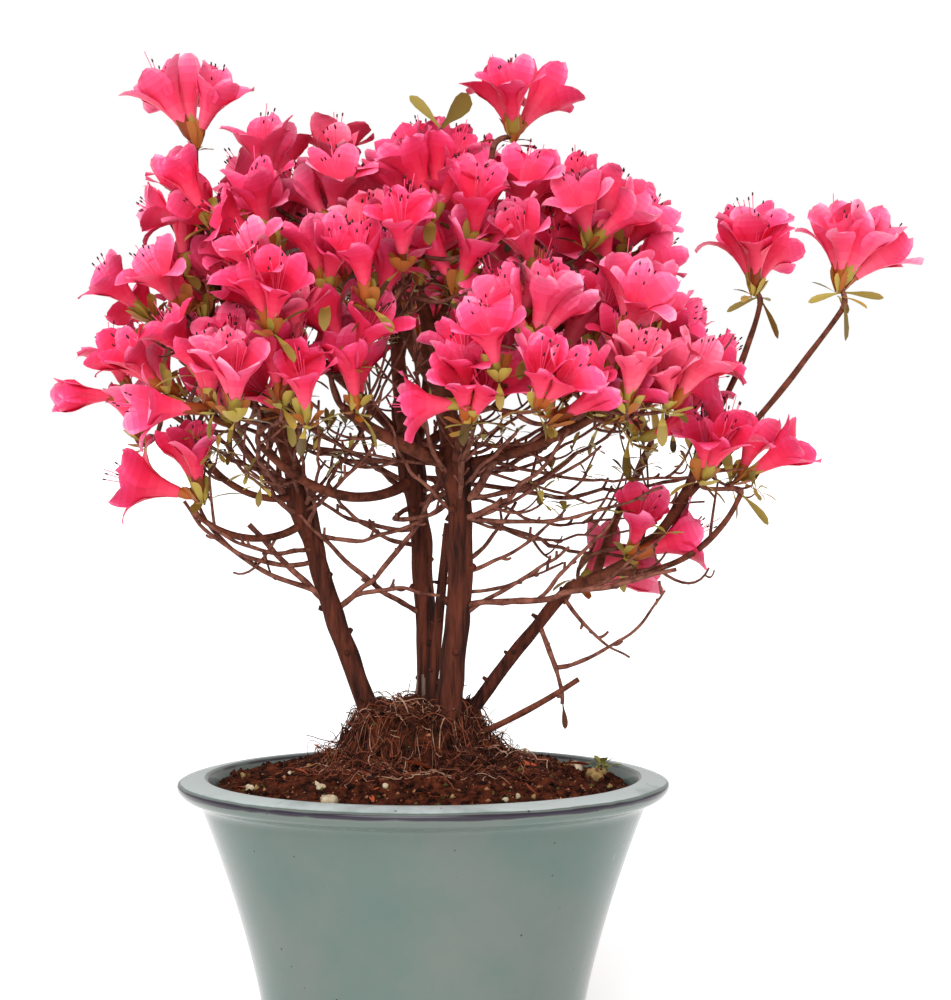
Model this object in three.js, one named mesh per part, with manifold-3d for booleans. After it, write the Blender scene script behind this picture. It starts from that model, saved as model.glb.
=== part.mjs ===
// Azalea bonsai in full bloom: a clump of leaning stems on a raised root ball, in a flared glazed pot.
// Millimetres, +Z up. The origin is the centre of the pot's flat underside, +X is right and +Y is back.
import * as THREE from "three";
import { mergeVertices } from "three/addons/utils/BufferGeometryUtils.js";
import Module from "manifold-3d";

const wasm = await Module();
wasm.setup();

// Gap that separate pieces keep to each other.
const CLEAR = 0.3;

// The pot: a concave flare from a plain foot to a rolled lip.
const POT = {
  height: 142,
  footRadius: 84,
  neckRadius: 119.5,
  neckHeight: 129,
  flarePower: 1.42,
  lipRadius: 130,
  lipWidest: 138,
  mouthRadius: 114,
  wall: 9,
  floor: 12,
  sides: 36,
  rings: 4,
};

// The soil, and the root ball that stands up out of it to the flat ground that the stems are cut at.
const SOIL = {
  edgeHeight: 129,
  moundFootRadius: 102,
  moundFootHeight: 137,
  groundRadius: 35,
  groundShift: -1,
  groundHeight: 180,
  moundPower: 0.65,
  roughness: 1.6,
  sides: 26,
  rings: 5,
};

// A limb turns evenly from its first heading to its last and tapers evenly from its first radius to its last.
// Azimuth runs from +X towards +Y and elevation from level to +Z, in degrees.
const STEM = { sides: 8, segments: 9, sunk: 12, flare: 0.22, flareLength: 14 };
const BOUGH = { sides: 5, segments: 6, flare: 0.12, flareLength: 6 };

// A stem stands with its foot at X and Y on the ground.
function newStem(name, foot, length, azimuth, elevation, radius) {
  return { name, foot, length, azimuth, elevation, radius };
}

// A bough grows on another limb, at a share of that limb's length.
function newBough(name, on, at, length, azimuth, elevation, radius) {
  return { name, on, at, length, azimuth, elevation, radius };
}

const STEMS = [
  newStem("left_stem", [-30.5, -2], 127, [177, 166], [67, 77], [5.6, 5.4]),
  newStem("back_stem", [1.5, 15], 146, [80, 181], [86, 82], [5.9, 5.7]),
  newStem("front_stem", [13.2, -18], 139, [0, 0], [79.5, 97], [7, 6.6]),
  newStem("right_stem", [28.2, 3], 80, [-2, -6], [57, 47], [3.8, 3.3]),
  newStem("thin_stem", [4.5, 1], 97, [31, 20], [86, 83], [3, 2.3]),
];

const BOUGHS = [
  newBough("left_leader", "left_stem", 1, 92, [162, 177], [69, 68], [4.4, 2.8]),
  newBough("left_top_shoot", "left_leader", 0.8, 98, [150, 235], [57, 88], [2, 1.5]),
  newBough("left_outer_bough", "left_leader", 0.35, 68, [-148, -180], [32, 46], [2.6, 1.8]),
  newBough("left_mid_bough", "left_stem", 0.93, 57, [-154, -177], [-15, 55], [2.3, 1.7]),
  newBough("left_low_bough", "left_stem", 0.83, 66, [-147, -165], [-35, 42], [2.2, 1.6]),
  newBough("left_back_bough", "left_stem", 0.9, 90, [108, 137], [1, 47], [3, 2]),
  newBough("left_arc_bough", "back_stem", 0.84, 115, [-125, -151], [-26, 46], [3.2, 2]),
  newBough("front_left_bough", "front_stem", 0.93, 76, [-162, -127], [18, 28], [4.2, 2.8]),
  newBough("front_leader", "front_stem", 1, 79, [124, 193], [74, 79], [5, 3.2]),
  newBough("front_bough", "front_stem", 0.9, 59, [-81, -84], [40, 20], [4, 2.6]),
  newBough("front_upper_bough", "front_leader", 0.35, 65, [-136, -100], [40, 46], [2.8, 1.9]),
  newBough("top_left_bough", "front_leader", 0.55, 95, [166, 184], [50, 55], [2.8, 1.8]),
  newBough("top_right_shoot", "front_leader", 0.75, 105, [18, -6], [60, 82], [2.4, 1.6]),
  newBough("right_upper_bough", "front_leader", 0.25, 93, [-1, -38], [34, 65], [3, 1.9]),
  newBough("right_top_bough", "right_upper_bough", 0.35, 98, [22, 18], [16, 75], [2.2, 1.6]),
  newBough("right_inner_bough", "front_stem", 0.92, 85, [-12, -36], [11, 27], [3.6, 2.4]),
  newBough("right_main_bough", "right_stem", 1, 95, [-4, -7], [14, 73], [3.3, 2.5]),
  newBough("right_outer_bough", "right_main_bough", 1, 46, [1, -105], [74, 87], [2.5, 2]),
  newBough("right_low_bough", "right_main_bough", 0.25, 88, [-20, -17], [-6, 68], [1.9, 1.5]),
  newBough("right_back_bough", "right_main_bough", 0.15, 102, [80, 42], [31, 57], [2.6, 1.8]),
  newBough("far_right_bough", "right_main_bough", 0.8, 135, [6, 2], [45, 55], [2, 1.5]),
  newBough("far_right_inner_bough", "right_outer_bough", 0.3, 88, [56, 3], [44, 78], [1.9, 1.5]),
  newBough("back_leader", "back_stem", 1, 83, [113, 112], [71, 77], [4.8, 3.2]),
  newBough("back_left_bough", "back_stem", 0.95, 108, [122, 152], [29, 38], [3.4, 2.2]),
  newBough("back_right_bough", "back_stem", 0.92, 114, [48, 36], [24, 35], [3.4, 2.2]),
  newBough("back_bough", "back_stem", 0.86, 107, [83, 88], [31, 45], [3.2, 2.2]),
];

// The cut twig that leans out of the root ball's right side, from a point inside it.
const STUB = {
  name: "low_stub",
  start: [33, -13, 167],
  length: 58,
  azimuth: [-14, -15],
  elevation: [25, 34],
  radius: [1.8, 1.5],
};

// A mass of blossom grows on a limb's tip, or at a share of its length. Its twig tips reach the half widths
// along X, Y and Z from its centre, and turn is the azimuth that its first flower takes.
function newMass(name, on, centre, half, trusses, turn, choices = {}) {
  return { name, on, at: 1, centre, half, trusses, turn, ...choices };
}

const MASSES = [
  newMass("left_top", "left_top_shoot", [-121, 3, 479], [0, 0, 0], 1, 180),
  newMass("left_upper", "left_leader", [-77, -8, 421], [22, 26, 14], 4, 180),
  newMass("left_outer", "left_outer_bough", [-121, -8, 390], [14, 24, 16], 3, 180),
  newMass("left_mid", "left_mid_bough", [-131, -14, 347], [14, 26, 2], 3, 180),
  newMass("left_low", "left_low_bough", [-117, -22, 291], [0, 0, 0], 1, 175),
  newMass("left_front", "left_arc_bough", [-76, -60, 341], [26, 24, 18], 4, 200),
  newMass("left_back", "left_back_bough", [-116, 74, 354], [26, 26, 24], 3, 150),
  newMass("top_left", "top_left_bough", [-58, 0, 429], [28, 30, 10], 4, 90),
  newMass("top_centre", "front_leader", [4, -6, 427], [28, 34, 14], 4, 60),
  newMass("top_right", "top_right_shoot", [48, 0, 482], [0, 0, 0], 1, 15, { flowers: 3 }),
  newMass("centre_front", "front_left_bough", [-54, -70, 376], [18, 18, 18], 4, 250),
  newMass("centre_upper", "front_upper_bough", [-9, -62, 408], [26, 18, 18], 4, 270),
  newMass("centre_low", "front_bough", [52, -80, 345], [20, 16, 14], 3, 250),
  newMass("right_upper", "right_upper_bough", [56, -34, 412], [26, 28, 16], 4, 300),
  newMass("right_top", "right_top_bough", [91, 14, 423], [14, 18, 8], 2, 40),
  newMass("right_front", "right_inner_bough", [88, -62, 344], [34, 22, 22], 5, 280),
  newMass("right_outer", "right_outer_bough", [108, -12, 352], [22, 28, 24], 4, 330),
  newMass("right_low", "right_low_bough", [152, -24, 299], [12, 14, 6], 2, 350),
  newMass("right_under", "right_main_bough", [96, 10, 259], [12, 12, 14], 2, 340, { at: 0.55 }),
  newMass("far_right", "far_right_bough", [222, 0, 411], [0, 0, 0], 1, 15, { flowers: 4 }),
  newMass("far_right_inner", "far_right_inner_bough", [174, 15, 405], [0, 0, 0], 1, 195, { flowers: 4 }),
  newMass("back_top", "back_leader", [-18, 58, 426], [34, 26, 20], 4, 100),
  newMass("back_left", "back_left_bough", [-80, 96, 402], [30, 26, 24], 4, 130),
  newMass("back_right", "back_right_bough", [70, 100, 394], [32, 26, 24], 4, 70),
  newMass("back", "back_bough", [0, 124, 376], [30, 18, 26], 4, 90),
  newMass("right_back", "right_back_bough", [106, 68, 350], [26, 26, 24], 3, 30),
];

// Twigs, the trusses of flowers at their tips and the leaves under each truss.
const CROWN = { heart: [0, 18, 325], domeDegrees: 105, goldenDegrees: 137.508, tipRoom: 40, tipRounds: 24 };
const TWIG = { sides: 3, segments: 2, hubShare: 0.45, stemRadius: [1.7, 1.4], radius: [1.4, 1.1] };
const FLOWER = {
  fewestPerTruss: 2,
  thirdChance: 0.35,
  tubeHeight: 17,
  tubeRadius: 4.2,
  notchHeight: 28,
  notchRadius: 12,
  lobeHeight: 36,
  lobeRadius: 18,
  throatHeight: 16,
  lobes: 5,
  mouthReach: 31,
  room: 35,
  rounds: 60,
  lift: 0.5,
  depthLift: 0.9,
  levelLimit: 0.2,
  levelLift: 1.1,
};
const LEAF = { perTruss: 2, length: 18, width: 6, thickness: 1, droop: 0.45 };
// The cluster of bud scales at a twig's tip, that the flowers and leaves of its truss are rooted in.
const KNOB = { radius: 3, length: 5 };

const COLOUR = {
  glaze: { color: 0x6f9c95, roughness: 0.2, metalness: 0 },
  soil: { color: 0x4a2a1e, roughness: 0.95, metalness: 0 },
  bark: { color: 0x5c382d, roughness: 0.85, metalness: 0 },
  blossom: { color: 0xf0477c, roughness: 0.6, metalness: 0 },
};

const UP = new THREE.Vector3(0, 0, 1);
const vector = (xyz) => new THREE.Vector3(...xyz);
const mix = (pair, share) => pair[0] + (pair[1] - pair[0]) * share;
const radians = THREE.MathUtils.degToRad;

// A repeatable number from 0 to 1 for the k-th choice of a thing with that seed.
function chance(seed, k) {
  const wave = Math.sin(seed * 127.1 + k * 311.7) * 43758.5453;
  return wave - Math.floor(wave);
}

// Unit vector along an azimuth and an elevation in degrees.
function heading(azimuth, elevation) {
  const a = radians(azimuth);
  const e = radians(elevation);
  return new THREE.Vector3(Math.cos(e) * Math.cos(a), Math.cos(e) * Math.sin(a), Math.sin(e));
}

// Two unit vectors square to an axis and to each other.
function across(axis) {
  const level = Math.abs(axis.z) < 0.99 ? UP : new THREE.Vector3(1, 0, 0);
  const first = new THREE.Vector3().crossVectors(level, axis).normalize();
  return [first, new THREE.Vector3().crossVectors(axis, first)];
}

// A closed geometry as a solid.
function solidOf(geometry) {
  const bare = geometry.clone();
  bare.deleteAttribute("normal");
  bare.deleteAttribute("uv");
  const merged = mergeVertices(bare, 1e-4);
  return new wasm.Manifold(
    new wasm.Mesh({
      numProp: 3,
      vertProperties: merged.attributes.position.array,
      triVerts: new Uint32Array(merged.index.array),
    }),
  );
}

// The largest closed body of a solid, with sealed hollows filled and loose scraps dropped, as a geometry.
// Corners that move the surface by less than the tolerance are left out.
function geometryOf(solid, tolerance) {
  const bodies = solid.asOriginal().simplify(tolerance).decompose();
  const whole = bodies.reduce((best, body) => (body.volume() > best.volume() ? body : best));
  const mesh = whole.getMesh();
  const geometry = new THREE.BufferGeometry();
  geometry.setAttribute("position", new THREE.BufferAttribute(new Float32Array(mesh.vertProperties), 3));
  geometry.setIndex(new THREE.BufferAttribute(new Uint32Array(mesh.triVerts), 1));
  geometry.computeVertexNormals();
  return geometry;
}

// A limb's centre line: its heading turns evenly from the first azimuth and elevation to the last.
class LimbCurve extends THREE.Curve {
  constructor(start, length, azimuth, elevation) {
    super();
    const steps = 24;
    this.points = [start.clone()];
    for (let i = 0; i < steps; i += 1) {
      const share = (i + 0.5) / steps;
      const step = heading(mix(azimuth, share), mix(elevation, share)).multiplyScalar(length / steps);
      this.points.push(this.points[i].clone().add(step));
    }
  }

  getPoint(share, target = new THREE.Vector3()) {
    const place = THREE.MathUtils.clamp(share, 0, 1) * (this.points.length - 1);
    const i = Math.min(Math.floor(place), this.points.length - 2);
    return target.lerpVectors(this.points[i], this.points[i + 1], place - i);
  }
}

// A round bar bent along a curve, with a radius for each share of its length. grow thickens and lengthens it.
function bentBar(curve, radiusAt, sides, segments, grow = 0) {
  const bar = new THREE.CylinderGeometry(1, 1, 1, sides, segments);
  const frames = curve.computeFrenetFrames(segments, false);
  const corner = bar.attributes.position;
  const place = new THREE.Vector3();
  for (let i = 0; i < corner.count; i += 1) {
    const ring = Math.round((corner.getY(i) + 0.5) * segments);
    const reach = radiusAt(ring / segments) + grow;
    curve.getPointAt(ring / segments, place);
    place.addScaledVector(frames.normals[ring], corner.getX(i) * reach);
    place.addScaledVector(frames.binormals[ring], -corner.getZ(i) * reach);
    if (ring === 0) place.addScaledVector(frames.tangents[ring], -grow);
    if (ring === segments) place.addScaledVector(frames.tangents[ring], grow);
    corner.setXYZ(i, place.x, place.y, place.z);
  }
  return bar;
}

// A limb's radius along its length: an even taper, with a flare that dies away from the foot.
function limbRadius(limb, shape) {
  return (share) => {
    const flare = shape.flare * Math.exp((-share * limb.length) / shape.flareLength);
    return mix(limb.radius, share) * (1 + flare);
  };
}

// Pot radius outside at a height below the neck.
function potOutside(z) {
  return POT.footRadius + (POT.neckRadius - POT.footRadius) * (z / POT.neckHeight) ** POT.flarePower;
}

function makePot() {
  const outline = [[0, 0]];
  for (let i = 0; i <= POT.rings; i += 1) {
    const z = (POT.neckHeight * i) / POT.rings;
    outline.push([potOutside(z), z]);
  }
  outline.push([POT.lipRadius - 2.5, POT.lipWidest - 5], [POT.lipRadius, POT.lipWidest]);
  outline.push([POT.lipRadius - 3.5, POT.height], [POT.mouthRadius + 2, POT.height - 0.5]);
  outline.push([POT.mouthRadius, POT.height - 3]);
  for (let i = POT.rings; i >= 1; i -= 1) {
    const z = POT.floor + ((POT.neckHeight - POT.floor) * i) / POT.rings;
    outline.push([potOutside(z) - POT.wall, z]);
  }
  outline.push([potOutside(POT.floor) - POT.wall, POT.floor], [0, POT.floor]);
  return standUp(new THREE.LatheGeometry(outline.map(([r, z]) => new THREE.Vector2(r, z)), POT.sides));
}

// Turns a lathe's +Y axis to +Z.
function standUp(lathe) {
  return lathe.rotateX(Math.PI / 2);
}

// The fill of the pot and the root ball in one piece. grow sets its top further out, for cutting stems.
function makeSoil(grow = 0) {
  const outline = [[0, POT.floor + CLEAR]];
  for (let i = 0; i < SOIL.rings; i += 1) {
    const z = POT.floor + CLEAR + ((SOIL.edgeHeight - POT.floor - CLEAR) * i) / (SOIL.rings - 1);
    outline.push([potOutside(z) - POT.wall - CLEAR - 0.4, z]);
  }
  for (let i = 0; i <= SOIL.rings; i += 1) {
    const share = i / SOIL.rings;
    const radius = mix([SOIL.moundFootRadius, SOIL.groundRadius], share ** SOIL.moundPower);
    outline.push([radius + grow, mix([SOIL.moundFootHeight, SOIL.groundHeight], share) + grow]);
  }
  outline.push([0, SOIL.groundHeight + grow]);
  const lathe = new THREE.LatheGeometry(outline.map(([r, z]) => new THREE.Vector2(r, z)), SOIL.sides);
  return roughen(standUp(lathe));
}

// Leans the mound over to one side and pushes its flank in and out by a few waves. What lies against the pot
// stays, and the ground stays flat.
function roughen(lathe) {
  const corner = lathe.attributes.position;
  for (let i = 0; i < corner.count; i += 1) {
    const [x, y, z] = [corner.getX(i), corner.getY(i), corner.getZ(i)];
    const rise = (z - SOIL.moundFootHeight) / (SOIL.groundHeight - SOIL.moundFootHeight);
    if (rise < 0) continue;
    const turn = Math.atan2(y, x);
    const wave = Math.sin(5 * turn + z * 0.21) + Math.sin(9 * turn - z * 0.33);
    const scale = 1 + (SOIL.roughness * wave) / Math.max(Math.hypot(x, y), SOIL.groundRadius);
    corner.setXY(i, x * scale + SOIL.groundShift * Math.min(rise, 1), y * scale);
  }
  return lathe;
}

// Stems start below the ground and are cut flat where they leave it.
function stemCurve(stem) {
  const lean = heading(stem.azimuth[0], stem.elevation[0]);
  const sunk = STEM.sunk / lean.z;
  const start = vector([...stem.foot, SOIL.groundHeight]).addScaledVector(lean, -sunk);
  return new LimbCurve(start, stem.length + sunk, stem.azimuth, stem.elevation);
}

// All limbs by name: the curve, the solid, and the whole bar grown by the gap, for cutting what meets it.
const limbs = new Map();

function addLimb(limb, curve, shape, cutters) {
  const bar = (grow) => solidOf(bentBar(curve, limbRadius(limb, shape), shape.sides, shape.segments, grow));
  const solid = cutters.reduce((left, cutter) => left.subtract(cutter), bar(0));
  limbs.set(limb.name, { limb, curve, solid, grown: bar(CLEAR) });
}

function growLimbs() {
  const ground = solidOf(makeSoil(CLEAR));
  for (const stem of STEMS) addLimb(stem, stemCurve(stem), STEM, [ground]);
  const stubCurve = new LimbCurve(vector(STUB.start), STUB.length, STUB.azimuth, STUB.elevation);
  addLimb(STUB, stubCurve, BOUGH, [ground]);
  for (const bough of BOUGHS) {
    const parent = limbs.get(bough.on);
    const start = parent.curve.getPoint(bough.at);
    addLimb(bough, new LimbCurve(start, bough.length, bough.azimuth, bough.elevation), BOUGH, [parent.grown]);
  }
}

// One truss for each twig tip: where it is, the way its twig points and the way out of the crown there.
function layTrusses() {
  const heart = vector(CROWN.heart);
  const trusses = [];
  MASSES.forEach((mass, m) => {
    const centre = vector(mass.centre);
    const outward = centre.clone().sub(heart).normalize();
    const [first, second] = across(outward);
    for (let i = 0; i < mass.trusses; i += 1) {
      const share = (i + 0.5) / mass.trusses;
      const polar = Math.acos(1 - share * (1 - Math.cos(radians(CROWN.domeDegrees))));
      const around = radians(mass.turn + i * CROWN.goldenDegrees + 40 * chance(m + 1, i));
      const spread = outward.clone().multiplyScalar(Math.cos(polar));
      spread.addScaledVector(first, Math.sin(polar) * Math.cos(around));
      spread.addScaledVector(second, Math.sin(polar) * Math.sin(around));
      const tip = centre.clone().add(spread.clone().multiply(vector(mass.half)));
      const lift = mass.trusses > 1 ? spread : UP;
      const axis = outward.clone().multiplyScalar(0.5).addScaledVector(lift, 0.6).addScaledVector(UP, 0.35);
      trusses.push({ mass: m, index: i, tip, axis: axis.normalize(), outward, loose: mass.trusses > 1 });
    }
  });
  return trusses;
}

// How far each point is pushed by those nearer than room: a share of what they lack, away from each.
function pushes(points, room, strength) {
  const push = points.map(() => new THREE.Vector3());
  for (let i = 0; i < points.length; i += 1) {
    for (let j = i + 1; j < points.length; j += 1) {
      const apart = points[i].clone().sub(points[j]);
      const distance = Math.max(apart.length(), 1e-6);
      if (distance >= room) continue;
      apart.multiplyScalar((strength * (room - distance)) / distance);
      push[i].add(apart);
      push[j].sub(apart);
    }
  }
  return push;
}

// Twig tips that crowd each other move apart, except those of a mass with one truss.
function spreadTips(trusses) {
  for (let round = 0; round < CROWN.tipRounds; round += 1) {
    const push = pushes(trusses.map((truss) => truss.tip), CROWN.tipRoom, 0.25);
    trusses.forEach((truss, i) => truss.loose && truss.tip.add(push[i]));
  }
}

// Two or three flowers to a truss, fanned out round its axis and lifted to the light, most of all at the front
// and back of the crown.
function layFlowers(trusses) {
  const flowers = [];
  trusses.forEach((truss, t) => {
    const seed = 100 + t;
    const drawn = FLOWER.fewestPerTruss + (chance(seed, 1) < FLOWER.thirdChance ? 1 : 0);
    const count = MASSES[truss.mass].flowers ?? drawn;
    const [first, second] = across(truss.axis);
    const sweep = heading(MASSES[truss.mass].turn, 0);
    const begin = Math.atan2(sweep.dot(second), sweep.dot(first));
    const phase = begin + truss.index * radians(CROWN.goldenDegrees);
    for (let k = 0; k < count; k += 1) {
      const around = phase + (2 * Math.PI * (k + 0.3 * chance(seed, 2 + k))) / count;
      const lean = 0.55 + 0.35 * chance(seed, 6 + k);
      const way = truss.axis.clone().addScaledVector(truss.outward, 0.2);
      way.addScaledVector(first, lean * Math.cos(around)).addScaledVector(second, lean * Math.sin(around));
      way.normalize().addScaledVector(UP, FLOWER.lift + FLOWER.depthLift * Math.abs(truss.outward.y));
      flowers.push({
        truss,
        way: way.normalize(),
        size: 1 + 0.2 * chance(seed, 10 + k),
        roll: 2 * Math.PI * chance(seed, 14 + k),
      });
    }
  });
  return flowers;
}

// Flowers turn away from neighbours that crowd them until each mouth has room. Those that then look level to the
// front or back turn up.
function spreadFlowers(flowers) {
  for (let round = 0; round < FLOWER.rounds; round += 1) {
    const mouths = flowers.map(({ truss, way }) => truss.tip.clone().addScaledVector(way, FLOWER.mouthReach));
    const push = pushes(mouths, FLOWER.room, 0.25);
    flowers.forEach(({ way }, i) => way.addScaledVector(push[i], 1 / FLOWER.mouthReach).normalize());
  }
  flowers.forEach(({ way }) => {
    const level = Math.max(Math.abs(way.y) - FLOWER.levelLimit, 0);
    way.addScaledVector(UP, FLOWER.levelLift * level).normalize();
  });
}

// Places a geometry that is modelled along +Z so that it stands at a point and runs along a way.
function aim(geometry, point, way, roll = 0) {
  const turn = new THREE.Quaternion().setFromUnitVectors(UP, way);
  turn.multiply(new THREE.Quaternion().setFromAxisAngle(UP, roll));
  return geometry.applyQuaternion(turn).translate(point.x, point.y, point.z);
}

// A funnel with five lobes, closed: a tapering tube outside, and a throat that the lobes slope into.
function flowerGeometry(size) {
  const corners = [0, 0, 0];
  const triangles = [];
  const tube = 1;
  const mouth = 1 + FLOWER.lobes;
  const throat = mouth + 2 * FLOWER.lobes;
  const addRound = (angle, radius, height) => {
    corners.push(radius * Math.cos(angle), radius * Math.sin(angle), height);
  };
  const step = (2 * Math.PI) / FLOWER.lobes;
  for (let i = 0; i < FLOWER.lobes; i += 1) addRound(i * step, FLOWER.tubeRadius, FLOWER.tubeHeight);
  for (let i = 0; i < FLOWER.lobes; i += 1) {
    addRound(i * step, FLOWER.lobeRadius, FLOWER.lobeHeight);
    addRound((i + 0.5) * step, FLOWER.notchRadius, FLOWER.notchHeight);
  }
  corners.push(0, 0, FLOWER.throatHeight);
  for (let i = 0; i < FLOWER.lobes; i += 1) {
    const next = (i + 1) % FLOWER.lobes;
    const [lobe, notch, nextLobe] = [mouth + 2 * i, mouth + 2 * i + 1, mouth + 2 * next];
    triangles.push(0, tube + next, tube + i);
    triangles.push(tube + i, notch, lobe, tube + i, tube + next, notch, tube + next, nextLobe, notch);
    triangles.push(throat, lobe, notch, throat, notch, nextLobe);
  }
  const geometry = new THREE.BufferGeometry();
  geometry.setAttribute("position", new THREE.Float32BufferAttribute(corners, 3));
  return geometry.setIndex(triangles).scale(size, size, size);
}

// A flower rooted in its knob, at a depth of its own so that no two share a root point.
function flowerSolid({ truss, way, size, roll }) {
  const root = truss.tip.clone().addScaledVector(way, -0.3 * roll);
  return solidOf(aim(flowerGeometry(size), root, way, roll));
}

function knobSolid(truss) {
  const knob = new THREE.OctahedronGeometry(1).scale(KNOB.radius, KNOB.radius, KNOB.length);
  return solidOf(aim(knob, truss.tip, truss.axis));
}

// A flat eight-faced blade that stands out from under the truss and droops.
function leafSolid(truss, k) {
  const [first, second] = across(truss.axis);
  const around = radians(360 / LEAF.perTruss) * (k + 0.4 * chance(300 + truss.index, k));
  const way = first.multiplyScalar(Math.cos(around)).addScaledVector(second, Math.sin(around));
  way.addScaledVector(UP, -LEAF.droop).normalize();
  const blade = new THREE.OctahedronGeometry(0.5);
  blade.scale(LEAF.width, LEAF.thickness, LEAF.length).translate(0, 0, LEAF.length / 2);
  return solidOf(aim(blade, truss.tip.clone().addScaledVector(truss.axis, -1.4), way));
}

function twigSolid(curve, radii) {
  return solidOf(bentBar(curve, (share) => mix(radii, share), TWIG.sides, TWIG.segments));
}

// Whether a solid comes into any of the others. Boxes are compared first.
function meets(solid, others) {
  const mine = solid.boundingBox();
  return others.some((other) => {
    const box = other.boundingBox();
    const near = [0, 1, 2].every((i) => mine.min[i] < box.max[i] + CLEAR && box.min[i] < mine.max[i] + CLEAR);
    return near && solid.intersect(other).volume() > 1e-4;
  });
}

// Where a mass's twigs part from its stem: the hub, or the tip itself in a mass with one truss.
function massHub(mass) {
  const from = limbs.get(mass.on).curve.getPoint(mass.at);
  return from.lerp(vector(mass.centre), mass.trusses > 1 ? TWIG.hubShare : 1);
}

// The stem from the bough to the hub, cut clear of the bough.
function massStem(mass) {
  const bough = limbs.get(mass.on);
  const line = new THREE.LineCurve3(bough.curve.getPoint(mass.at), massHub(mass));
  return twigSolid(line, TWIG.stemRadius).subtract(bough.grown);
}

// What one truss adds to its mass: the twig from the hub, the knob at its tip, leaves and flowers. What would
// touch a limb or another mass is left out, and the whole truss with it if that is its twig or knob.
function growTruss(truss, hub, flowers, taken) {
  const wood = [knobSolid(truss)];
  if (truss.loose) {
    const bend = truss.tip.clone().addScaledVector(truss.axis, -0.5 * truss.tip.distanceTo(hub));
    wood.push(twigSolid(new THREE.QuadraticBezierCurve3(hub, bend, truss.tip), TWIG.radius));
  }
  if (wood.some((part) => meets(part, taken))) return [];
  const leaves = Array.from({ length: LEAF.perTruss }, (_, k) => leafSolid(truss, k));
  const blooms = flowers.filter((flower) => flower.truss === truss).map(flowerSolid);
  return [...wood, ...[...leaves, ...blooms].filter((part) => !meets(part, taken))];
}

function growCrown() {
  const trusses = layTrusses();
  spreadTips(trusses);
  const flowers = layFlowers(trusses);
  spreadFlowers(flowers);
  const stems = MASSES.map(massStem);
  const grown = [...limbs.values()].map((limb) => limb.grown);
  return MASSES.map((mass, m) => {
    const taken = [...grown, ...stems.filter((stem, i) => i !== m)];
    const own = trusses.filter((truss) => truss.mass === m);
    const parts = own.flatMap((truss) => growTruss(truss, massHub(mass), flowers, taken));
    grown.push(...parts);
    return [`blossom_${mass.name}`, wasm.Manifold.union([stems[m], ...parts])];
  });
}

const bonsai = new THREE.Group();
bonsai.name = "azalea_bonsai";

function addPiece(name, geometry, finish) {
  const mesh = new THREE.Mesh(geometry, new THREE.MeshStandardMaterial(finish));
  mesh.name = name;
  bonsai.add(mesh);
}

growLimbs();
addPiece("pot", makePot(), COLOUR.glaze);
addPiece("soil_and_root_ball", makeSoil(), COLOUR.soil);
for (const [name, { solid }] of limbs) addPiece(name, geometryOf(solid, 0.02), COLOUR.bark);
for (const [name, solid] of growCrown()) addPiece(name, geometryOf(solid, 0.3), COLOUR.blossom);

export default bonsai;
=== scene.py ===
"""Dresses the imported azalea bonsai: glazed pot, rooted soil, bark, twigs, leaves and blossom.

All sizes are millimetres and become metres where a mesh is written. Azimuth runs from +X towards +Y and
elevation from level to +Z, in degrees.
"""

import logging
import math
from dataclasses import dataclass, field
from enum import Enum

import bpy
import numpy as np
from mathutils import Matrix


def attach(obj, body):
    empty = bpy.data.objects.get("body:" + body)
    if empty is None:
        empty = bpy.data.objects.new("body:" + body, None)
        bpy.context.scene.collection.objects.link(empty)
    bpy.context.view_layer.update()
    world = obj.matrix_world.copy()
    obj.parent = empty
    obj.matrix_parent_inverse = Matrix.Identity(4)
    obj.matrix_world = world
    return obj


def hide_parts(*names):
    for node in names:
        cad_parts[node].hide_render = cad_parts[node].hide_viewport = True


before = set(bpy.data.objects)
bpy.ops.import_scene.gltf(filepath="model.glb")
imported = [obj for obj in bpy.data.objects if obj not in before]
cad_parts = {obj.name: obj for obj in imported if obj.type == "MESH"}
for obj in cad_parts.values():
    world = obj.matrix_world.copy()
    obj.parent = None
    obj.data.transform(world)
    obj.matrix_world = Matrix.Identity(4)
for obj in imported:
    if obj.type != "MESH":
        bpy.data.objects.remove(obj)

Array = np.ndarray
LOG = logging.getLogger("azalea_bonsai")
METRES = 0.001
UP = np.array([0.0, 0.0, 1.0])
GOLDEN = math.radians(137.508)
LINE_STEPS = 24
LINE_POINTS = LINE_STEPS + 1


def chance(seed: Array | float, k: Array | float) -> Array:
    """Gives repeatable numbers from 0 to 1: the fraction of a large sine.

    Args:
        seed: which thing chooses.
        k: which of its choices.

    Returns:
        The numbers, in the shape that seed and k have together.
    """
    wave = np.sin(np.asarray(seed) * 127.1 + np.asarray(k) * 311.7) * 43758.5453
    return wave - np.floor(wave)


def between(low: float, high: float, seed: Array | float, k: Array | float) -> Array:
    """Gives a repeatable number from low to high for the choice k of each seed."""
    return low + (high - low) * chance(seed, k)


def unit(vectors: Array) -> Array:
    """Scales vectors along the last axis to length one."""
    return vectors / np.maximum(np.linalg.norm(vectors, axis=-1, keepdims=True), 1e-9)


def heading(azimuth: Array | float, elevation: Array | float) -> Array:
    """Turns angles into directions.

    Args:
        azimuth: degrees from +X towards +Y.
        elevation: degrees above level.

    Returns:
        Unit vectors along a new last axis.
    """
    a = np.radians(azimuth)
    e = np.radians(elevation)
    return np.stack([np.cos(e) * np.cos(a), np.cos(e) * np.sin(a), np.sin(e)], axis=-1)


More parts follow.
